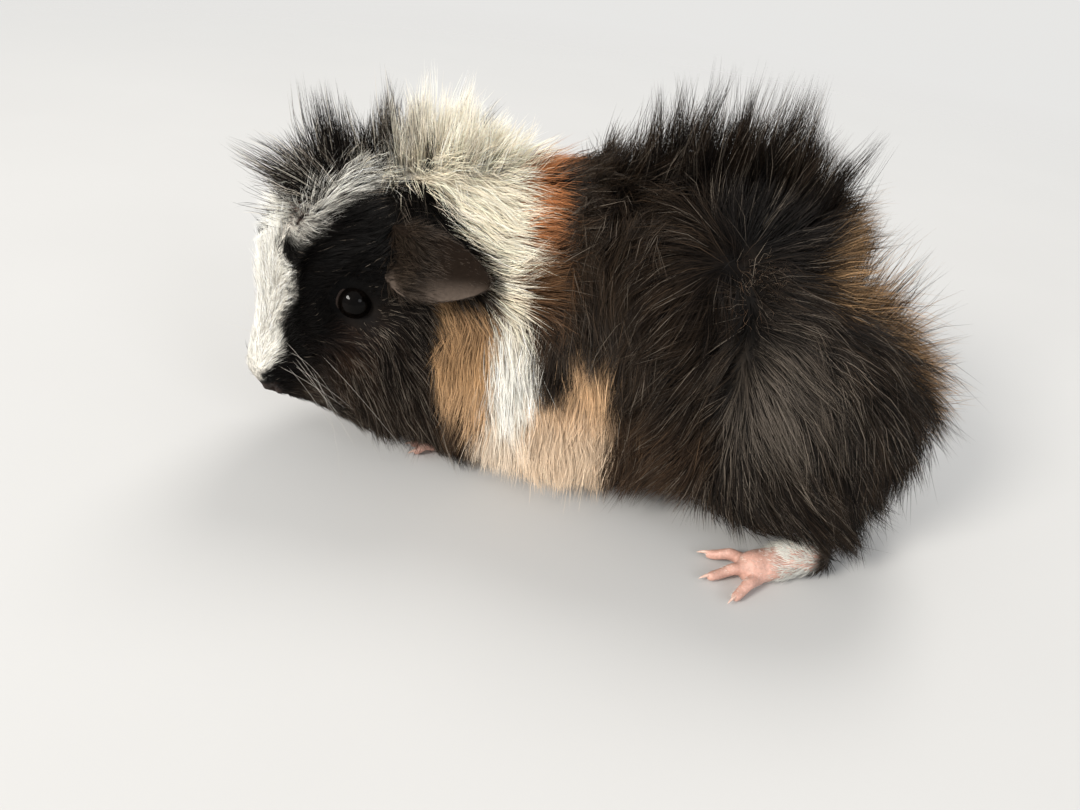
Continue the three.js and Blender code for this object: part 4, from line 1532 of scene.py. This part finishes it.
def on_head(p):
    return (head_share(p) > 0.5).astype(float)


def far_side(p):
    """1 on the animal's right, which needs the coat less thick."""
    return (p[:, 1] > 8).astype(float)


def face_density(p):
    h = HEAD.own(p)
    return np.interp(h[:, 0], [-16, 0, 20, 30], [4.0, 4.8, 6.1, 8.2]) * (1 - 0.40 * far_side(p))


def body_density(p):
    near = mix(2.66, 1.4, ease(-p[:, 2], -22, -10)) * (1 - 0.40 * far_side(p))
    return near * (1 - mix(0.35, 0.88, ease(p[:, 2], 56, 70)) * far_rump(p))


class PIG_OT_coat_face(bpy.types.Operator):
    """Grows the short coat of the head"""

    bl_idname = "pig.coat_face"
    bl_label = "Coat of the face"

    def execute(self, context):
        lie = CoatLie(context.scene.pig_coat)
        lie.spacing = 6
        for seed, (part, near, far) in enumerate((("muzzle", 13, 60), ("cheek", -60, 13))):
            for side, hand in ((1, "left"), (-1, "right")):

                def density(p, side=side, near=near, far=far):
                    h = HEAD.own(p)
                    here = (h[:, 0] >= near) & (h[:, 0] < far) & (h[:, 1] * side > 0)
                    return here * on_head(p) * off_bare(p) * face_density(p)

                grow(context, f"coat_{part}_{hand}", lie, density, 2 + 2 * seed + side)
        return {"FINISHED"}


class PIG_OT_coat_body(bpy.types.Operator):
    """Grows the collar and the long coat of the sides, back, belly and haunches"""

    bl_idname = "pig.coat_body"
    bl_label = "Coat of the body"

    def execute(self, context):
        lie = CoatLie(context.scene.pig_coat)
        parts = (
            ("collar", "coat_white", -200, -12),
            ("side", "coat_black", -12, 24),
            ("haunch", "coat_black", 24, 55),
            ("rump", "coat_black", 55, 200),
        )
        for i, (word, slot, x0, x1) in enumerate(parts):
            for sign, hand in ((-1, "left"), (1, "right")):

                def density(p, sign=sign, x0=x0, x1=x1):
                    x = p[:, 0] - FORE
                    here = (x >= x0) & (x < x1) & (side_of(p) == sign)
                    return here * (1 - on_head(p)) * off_bare(p) * body_density(p)

                grow(context, f"coat_{word}_{hand}", lie, density, 20 + 2 * i + sign)
        return {"FINISHED"}


class PIG_OT_coat_limbs(bpy.types.Operator):
    """Grows the fine short fur of the feet and ears"""

    bl_idname = "pig.coat_limbs"
    bl_label = "Coat of the feet and ears"

    def execute(self, context):
        settings = context.scene.pig_coat

        def instep(p):
            furry = 1 - ease(toward_toes(p), 0.40, 1.0)
            return (2.0 + mix(1.0, 5.4, p[:, 0] > 0) * furry) * ease(p[:, 2], 0.9, 1.8)

        grow(context, "coat_feet", FootLie(settings), instep, 60)
        for i, name in enumerate(EARS):
            plan = EarPlan(name)
            lie = EarLie(settings, plan)

            def over_ear(p, plan=plan, lie=lie):
                own = plan.own(p) / plan.reach
                here = (np.abs(own[:, :2]) < 1.15).all(1) & (np.abs(own[:, 2]) < 2.5)
                return here * (4.4 + 3.4 * lie.rootward(p)) * (1 - 0.5 * far_side(p))

            grow(context, "coat_" + name, lie, over_ear, 62 + i)
        return {"FINISHED"}


# the way a crest leans at even steps along its line
CROWN_LEAN = [(-1.1, -0.1, 0.15), (-0.7, 0.0, 0.6), (-0.1, 0.0, 1.0), (0.2, 0.0, 1.0), (0.45, 0.0, 0.8)]
RUMP_LEAN = [(0.05, 0.0, 0.7), (0.0, 0.0, 1.1), (0.05, 0.0, 1.1), (0.1, 0.0, 1.1), (0.28, 0.0, 1.0)]
FRINGE_LEAN = [(0.1, 0.0, 1.1), (0.5, 0.0, 0.9), (0.9, 0.0, 0.5), (0.9, 0.0, -0.1)]


class PIG_OT_crests(bpy.types.Operator):
    """Grows the standing hair of the crown and of the rump"""

    bl_idname = "pig.crests"
    bl_label = "Crests"

    def execute(self, context):
        settings = context.scene.pig_coat
        crown = CrownLie(settings, CROWN_LINE, 11, (9, 12, 16, 14, 10), (29, 30, 32, 29, 23), CROWN_LEAN)
        ridge = RidgeLie(settings, RUMP_LINE, 15, (13, 22, 24, 24, 20), (26, 41, 42, 43, 36), RUMP_LEAN)
        fringe = FringeLie(settings, FRINGE_LINE, 15, (14, 14, 12, 9), (34, 36, 28, 18), FRINGE_LEAN)

        def standing(lie, thickness):
            def density(p):
                _, distance, share = along_line(p, lie.line)
                ends = ease(share, -0.02, 0.06) * ease(1 - share, -0.02, 0.06)
                middle = 1 - ease(distance, lie.half_width * 0.4, lie.half_width)
                stops = np.linspace(0, 1, len(thickness))
                return middle * ends * off_bare(p) * np.interp(share, stops, thickness)

            return density

        thick = standing(crown, (4.2, 7.0, 7.8, 4.6, 2.6))
        made = grow(context, "coat_crown", crown, thick, 50)
        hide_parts("crest_forehead", "crest_nape")
        thick = standing(ridge, (2.0, 4.6, 5.0, 5.0, 4.2))
        made = grow(context, "coat_ridge", ridge, thick, 51)
        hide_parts("crest_rump")
        grow(context, "coat_fringe", fringe, standing(fringe, (1.5, 1.4, 1.1, 0.8)), 52)

        def curly(p):
            x, y, z = p[:, 0] - FORE, np.abs(p[:, 1]), p[:, 2]
            rosette = np.linalg.norm(on_left(p) - CURLS, axis=1)
            flank = np.exp(-(((x - 16) / 9) ** 2 + ((z - 32) / 8) ** 2)) * (y > 20)
            return 1.3 * (1 - ease(rosette, 5, 11)) + 0.7 * flank

        grow(context, "coat_frizz", FrizzLie(settings), curly, 53)
        return {"FINISHED"}


# ---- eyes, claws and whiskers -----------------------------------------------------------------------
class PIG_OT_eyes(bpy.types.Operator):
    """Builds the dark, wet eyeballs"""

    bl_idname = "pig.eyes"
    bl_label = "Eyes"

    def execute(self, context):
        settings = context.scene.pig_face
        wet = Finish("eye_wet", 0.10, 0.01)
        wet.tint_coat(wet.patches(1400.0, 0.6, 1.6))
        wet.shader.inputs["Coat Weight"].default_value = 0.16
        wet.shader.inputs["Coat Roughness"].default_value = 0.015
        for side, word in ((1, "left"), (-1, "right")):
            centre, radius, look = eye_frame(side)
            ball = bmesh.new()
            bmesh.ops.create_uvsphere(ball, u_segments=64, v_segments=40, radius=1.0)
            mesh = mesh_from(ball, "eyeball_" + word)
            co = np.array([v.co for v in mesh.vertices])
            cornea = 1 + 0.05 * ease(co[:, 2], 0.72, 1.0)
            turn = np.array(Vector((0, 0, 1)).rotation_difference(Vector(look)).to_matrix())
            set_points(mesh, centre + (co * cornea[:, None] * radius) @ turn.T)
            ring = ease(co[:, 2], 0.2, 0.75) * (1 - ease(co[:, 2], 0.8, 0.84))
            iris = np.array(settings.eye) * mix(1.0, 1.8, ring)[:, None]
            set_colours(mesh, mix(iris, EYE_RIM, (1 - ease(co[:, 2], 0.10, 0.30))[:, None]))
            mesh.polygons.foreach_set("use_smooth", np.ones(len(mesh.polygons), bool))
            mesh.materials.append(wet.material)
            made = add_object("eyeball_" + word, mesh)
            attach(made, "root")
            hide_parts("eye_" + word)
        return {"FINISHED"}


def claw_shape(tip, way, radius, length):
    """A curved claw, narrow and pointed, that comes down to the ground."""
    rings, sides = 10, 10
    s = np.linspace(0, 1, rings)
    centres = tip[None] + way[None] * (-0.9 + length * s)[:, None]
    centres[:, 2] += 0.35 + length * (0.28 * s - 0.42 * s * s)
    centres[:, 2] = np.maximum(centres[:, 2], 0.3)
    radii = radius * (1 - s) ** 0.75 + 0.05
    across = np.cross(way, [0, 0, 1.0])[None]
    lean = 0.25 - 0.62 * s
    upward = np.array([0, 0, 1.0])[None] * np.cos(lean)[:, None] - way[None] * np.sin(lean)[:, None]
    return ring_tube(centres, radii, sides, 0.8 * across, upward)


class PIG_OT_claws(bpy.types.Operator):
    """Builds the horn claws at the ends of the toes"""

    bl_idname = "pig.claws"
    bl_label = "Claws"

    def execute(self, context):
        settings = context.scene.pig_face
        horn = Finish("claw_horn", 0.28, 0.5)
        tip = horn.ramp(horn.attribute("along", "Fac"), (0.0, 0.92), (1.0, 1.15))
        horn.tint_coat(tip, horn.patches(2200.0, 0.88, 1.08))
        for name in FEET:
            *_, toes, _, radius = foot_plan(name)
            length = HIND_CLAW if name.startswith("hind") else FORE_CLAW
            _, tips = foot_shell(name)
            parts = [claw_shape(at, way, radius * 0.50, length) for at, way in tips]
            mesh = smooth_mesh("claws_" + name, *joined(parts))
            share = np.concatenate([np.linspace(0, 1, len(points)) for points, _ in parts])
            set_colours(mesh, mix(QUICK, np.array(settings.claw), ease(share, 0.15, 0.6)[:, None]))
            set_along(mesh, share)
            mesh.materials.append(horn.material)
            made = add_object("claws_" + name, mesh)
            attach(made, "root")
            limb, hand = name.split("foot_")
            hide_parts(*[f"claw_{limb}_{hand}_{k + 1}" for k in range(len(toes))])
        return {"FINISHED"}


WHISKER_DROP = {1: 30, -1: 4}  # degrees that the left and the right whiskers are lowered
WHISKER_SWEEP = {1: 0.30, -1: 0.30}  # how far they point backwards

# place ahead, to the side and up, rise of the whisker in degrees, share of the longest one's length
WHISKERS = (
    (24.5, 8.0, -3.0, 22, 0.75),
    (23.0, 9.5, -5.5, 6, 0.90),
    (21.5, 10.5, -8.0, -10, 1.00),
    (24.5, 8.5, -9.5, -24, 0.80),
    (21.0, 12.0, -11.0, -34, 0.90),
    (17.5, 15.0, -6.0, -16, 0.95),
    (26.5, 7.0, -7.0, -4, 0.55),
    (18.5, 13.5, -12.5, -48, 0.70),
)


class PIG_OT_whiskers(bpy.types.Operator):
    """Sets the whiskers into both pads of the muzzle"""

    bl_idname = "pig.whiskers"
    bl_label = "Whiskers"

    def execute(self, context):
        settings = context.scene.pig_face
        rng = np.random.default_rng(77)
        longest = settings.whisker_length / UNIT
        skin = bpy.data.objects["skin"]
        parts = []
        s = np.linspace(0, 1, 13)[:, None]
        for side in (1, -1):
            for ahead, wide, up, fan, share in WHISKERS + WHISKERS:
                at = HEAD.place(ahead, side * wide, up) + rng.normal(0, 1.3, 3)
                _, where, _, _ = skin.closest_point_on_mesh(Vector(at * UNIT))
                root = np.array(where) / UNIT
                drop = WHISKER_DROP[side]
                lift = math.radians(fan - drop)
                way = HEAD.way(0.10 - WHISKER_SWEEP[side] * share, side * math.cos(lift), math.sin(lift))
                way = unit(way + 0.20 * rng.normal(size=3))
                length = longest * share * rng.uniform(0.6, 1.05)
                droop = np.array([0, 0, -0.2 - 0.008 * drop]) - 0.15 * HEAD.ahead + 0.12 * rng.normal(size=3)
                centres = root + way * length * s + droop * length * s * s
                across = unit(np.cross(way, [0.1, 0.2, 1.0]))
                upward = np.cross(way, across)
                radii = 0.022 * (1 - s[:, 0]) ** 0.7 + 0.010
                points, faces = ring_tube(centres, radii, 5, across[None], upward[None])
                points[:, 2] = np.maximum(points[:, 2], 0.3)
                parts.append((points, faces))
        mesh = smooth_mesh("whiskers", *joined(parts))
        set_colours(mesh, np.tile(np.array(settings.whisker), (len(mesh.vertices), 1)))
        hair = Finish("whisker_hair", 0.35)
        hair.tint_coat(hair.patches(700.0, 0.8, 1.15))
        mesh.materials.append(hair.material)
        made = add_object("whiskers", mesh)
        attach(made, "root")
        return {"FINISHED"}


# ---- the stage ---------------------------------------------------------------------------------------
def add_lamp(name, at, target, size, power, colour):
    lamp = bpy.data.lights.new(name, "AREA")
    lamp.shape = "DISK"
    lamp.size = size
    lamp.energy = power
    lamp.color = colour
    made = bpy.data.objects.new(name, lamp)
    made.location = at
    made.rotation_euler = (Vector(target) - Vector(at)).to_track_quat("-Z", "Y").to_euler()
    bpy.context.scene.collection.objects.link(made)


class PIG_OT_stage(bpy.types.Operator):
    """Lays the floor, hangs the lamps and sets up the camera"""

    bl_idname = "pig.stage"
    bl_label = "Stage"

    def execute(self, context):
        settings = context.scene.pig_stage
        scene = context.scene
        pale = Finish("pale_floor", 0.9, 0.1)
        nodes, links = pale.nodes, pale.links
        tint = pale.patches(6.0, 0.985, 1.015)
        colour = nodes.new("ShaderNodeRGB")
        colour.outputs[0].default_value = (*settings.floor, 1)
        pale.tint(colour.outputs[0], tint)
        # the floor fades out into the backdrop with the distance from the animal
        place = nodes.new("ShaderNodeTexCoord")
        distance = nodes.new("ShaderNodeVectorMath")
        distance.operation = "LENGTH"
        links.new(place.outputs["Object"], distance.inputs[0])
        fade = pale.ramp(distance.outputs["Value"], (0.35, 0.0), (1.0, 1.0))
        clear = nodes.new("ShaderNodeBsdfTransparent")
        blend = nodes.new("ShaderNodeMixShader")
        links.new(fade, blend.inputs["Fac"])
        links.new(pale.shader.outputs["BSDF"], blend.inputs[1])
        links.new(clear.outputs["BSDF"], blend.inputs[2])
        links.new(blend.outputs["Shader"], pale.output.inputs["Surface"])
        floor = bmesh.new()
        bmesh.ops.create_grid(floor, x_segments=8, y_segments=8, size=1.2)
        for v in floor.verts:
            v.co.z = -0.0002
        mesh = mesh_from(floor, "floor")
        mesh.materials.append(pale.material)
        made = add_object("floor", mesh)

        world = bpy.data.worlds.new("studio")
        scene.world = world
        world.use_nodes = True
        nodes, links = world.node_tree.nodes, world.node_tree.links
        sky = nodes["Background"]
        sky.inputs["Color"].default_value = (0.97, 0.985, 1.0, 1)
        sky.inputs["Strength"].default_value = settings.sky
        backdrop = nodes.new("ShaderNodeBackground")
        backdrop.inputs["Color"].default_value = (*settings.backdrop, 1)
        backdrop.inputs["Strength"].default_value = 1.0
        rays = nodes.new("ShaderNodeLightPath")
        choice = nodes.new("ShaderNodeMixShader")
        links.new(rays.outputs["Is Camera Ray"], choice.inputs["Fac"])
        links.new(sky.outputs["Background"], choice.inputs[1])
        links.new(backdrop.outputs["Background"], choice.inputs[2])
        links.new(choice.outputs["Shader"], nodes["World Output"].inputs["Surface"])

        add_lamp("key", (-0.95, -1.35, 1.05), (0, 0, 0.05), 0.55, settings.key, (1.0, 0.965, 0.91))
        add_lamp("fill", (1.5, -1.1, 1.1), (0, 0, 0.04), 0.9, settings.fill, (0.95, 0.97, 1.0))
        add_lamp("rim", (0.1, 1.1, 1.7), (0, 0, 0.05), 0.9, 2.2 * settings.fill, (1.0, 0.98, 0.95))

        camera = bpy.data.cameras.new("camera")
        camera.lens = settings.lens
        camera.sensor_width = 36
        camera.clip_start = 0.01
        made = bpy.data.objects.new("camera", camera)
        tilt, turn, roll = (math.radians(angle) for angle in CAMERA_ANGLES)
        look = Vector((-math.sin(turn) * math.cos(tilt), math.cos(turn) * math.cos(tilt), -math.sin(tilt)))
        right = Vector((math.cos(turn), math.sin(turn), 0))
        up = right.cross(look)
        leaned_right = right * math.cos(roll) + up * math.sin(roll)
        leaned_up = up * math.cos(roll) - right * math.sin(roll)
        at = Vector(spot(*CAMERA_AT)) * UNIT
        axes = zip(leaned_right, leaned_up, -look, at)
        made.matrix_world = Matrix((*axes, (0, 0, 0, 1)))
        scene.collection.objects.link(made)
        scene.camera = made
        scene.view_settings.view_transform = "Standard"
        return {"FINISHED"}


class PIG_PT_panel(bpy.types.Panel):
    """Lists the pieces of the guinea pig"""

    bl_idname = "PIG_PT_panel"
    bl_label = "Guinea pig"
    bl_space_type = "VIEW_3D"
    bl_region_type = "UI"
    bl_category = "Guinea pig"

    def draw(self, context):
        for group in (getattr(context.scene, name) for name in GROUPS):
            box = self.layout.box()
            for name in type(group).__annotations__:
                box.prop(group, name)
        for operator in OPERATORS:
            self.layout.operator(operator.bl_idname)


OPERATORS = (
    PIG_OT_skin,
    PIG_OT_eyes,
    PIG_OT_coat_face,
    PIG_OT_coat_body,
    PIG_OT_coat_limbs,
    PIG_OT_crests,
    PIG_OT_claws,
    PIG_OT_whiskers,
    PIG_OT_stage,
)
GROUPS = {
    "pig_skin": PigSkinSettings,
    "pig_coat": PigCoatSettings,
    "pig_face": PigFaceSettings,
    "pig_stage": PigStageSettings,
}


def register():
    for name, group in GROUPS.items():
        bpy.utils.register_class(group)
        setattr(bpy.types.Scene, name, PointerProperty(type=group))
    for operator in OPERATORS:
        bpy.utils.register_class(operator)
    bpy.utils.register_class(PIG_PT_panel)


def unregister():
    bpy.utils.unregister_class(PIG_PT_panel)
    for operator in reversed(OPERATORS):
        bpy.utils.unregister_class(operator)
    for name, group in reversed(GROUPS.items()):
        delattr(bpy.types.Scene, name)
        bpy.utils.unregister_class(group)


def main():
    register()
    bpy.ops.pig.skin()
    bpy.ops.pig.eyes()
    bpy.ops.pig.coat_face()
    bpy.ops.pig.coat_body()
    bpy.ops.pig.coat_limbs()
    bpy.ops.pig.crests()
    bpy.ops.pig.claws()
    bpy.ops.pig.whiskers()
    bpy.ops.pig.stage()


if __name__ == "__main__":
    main()
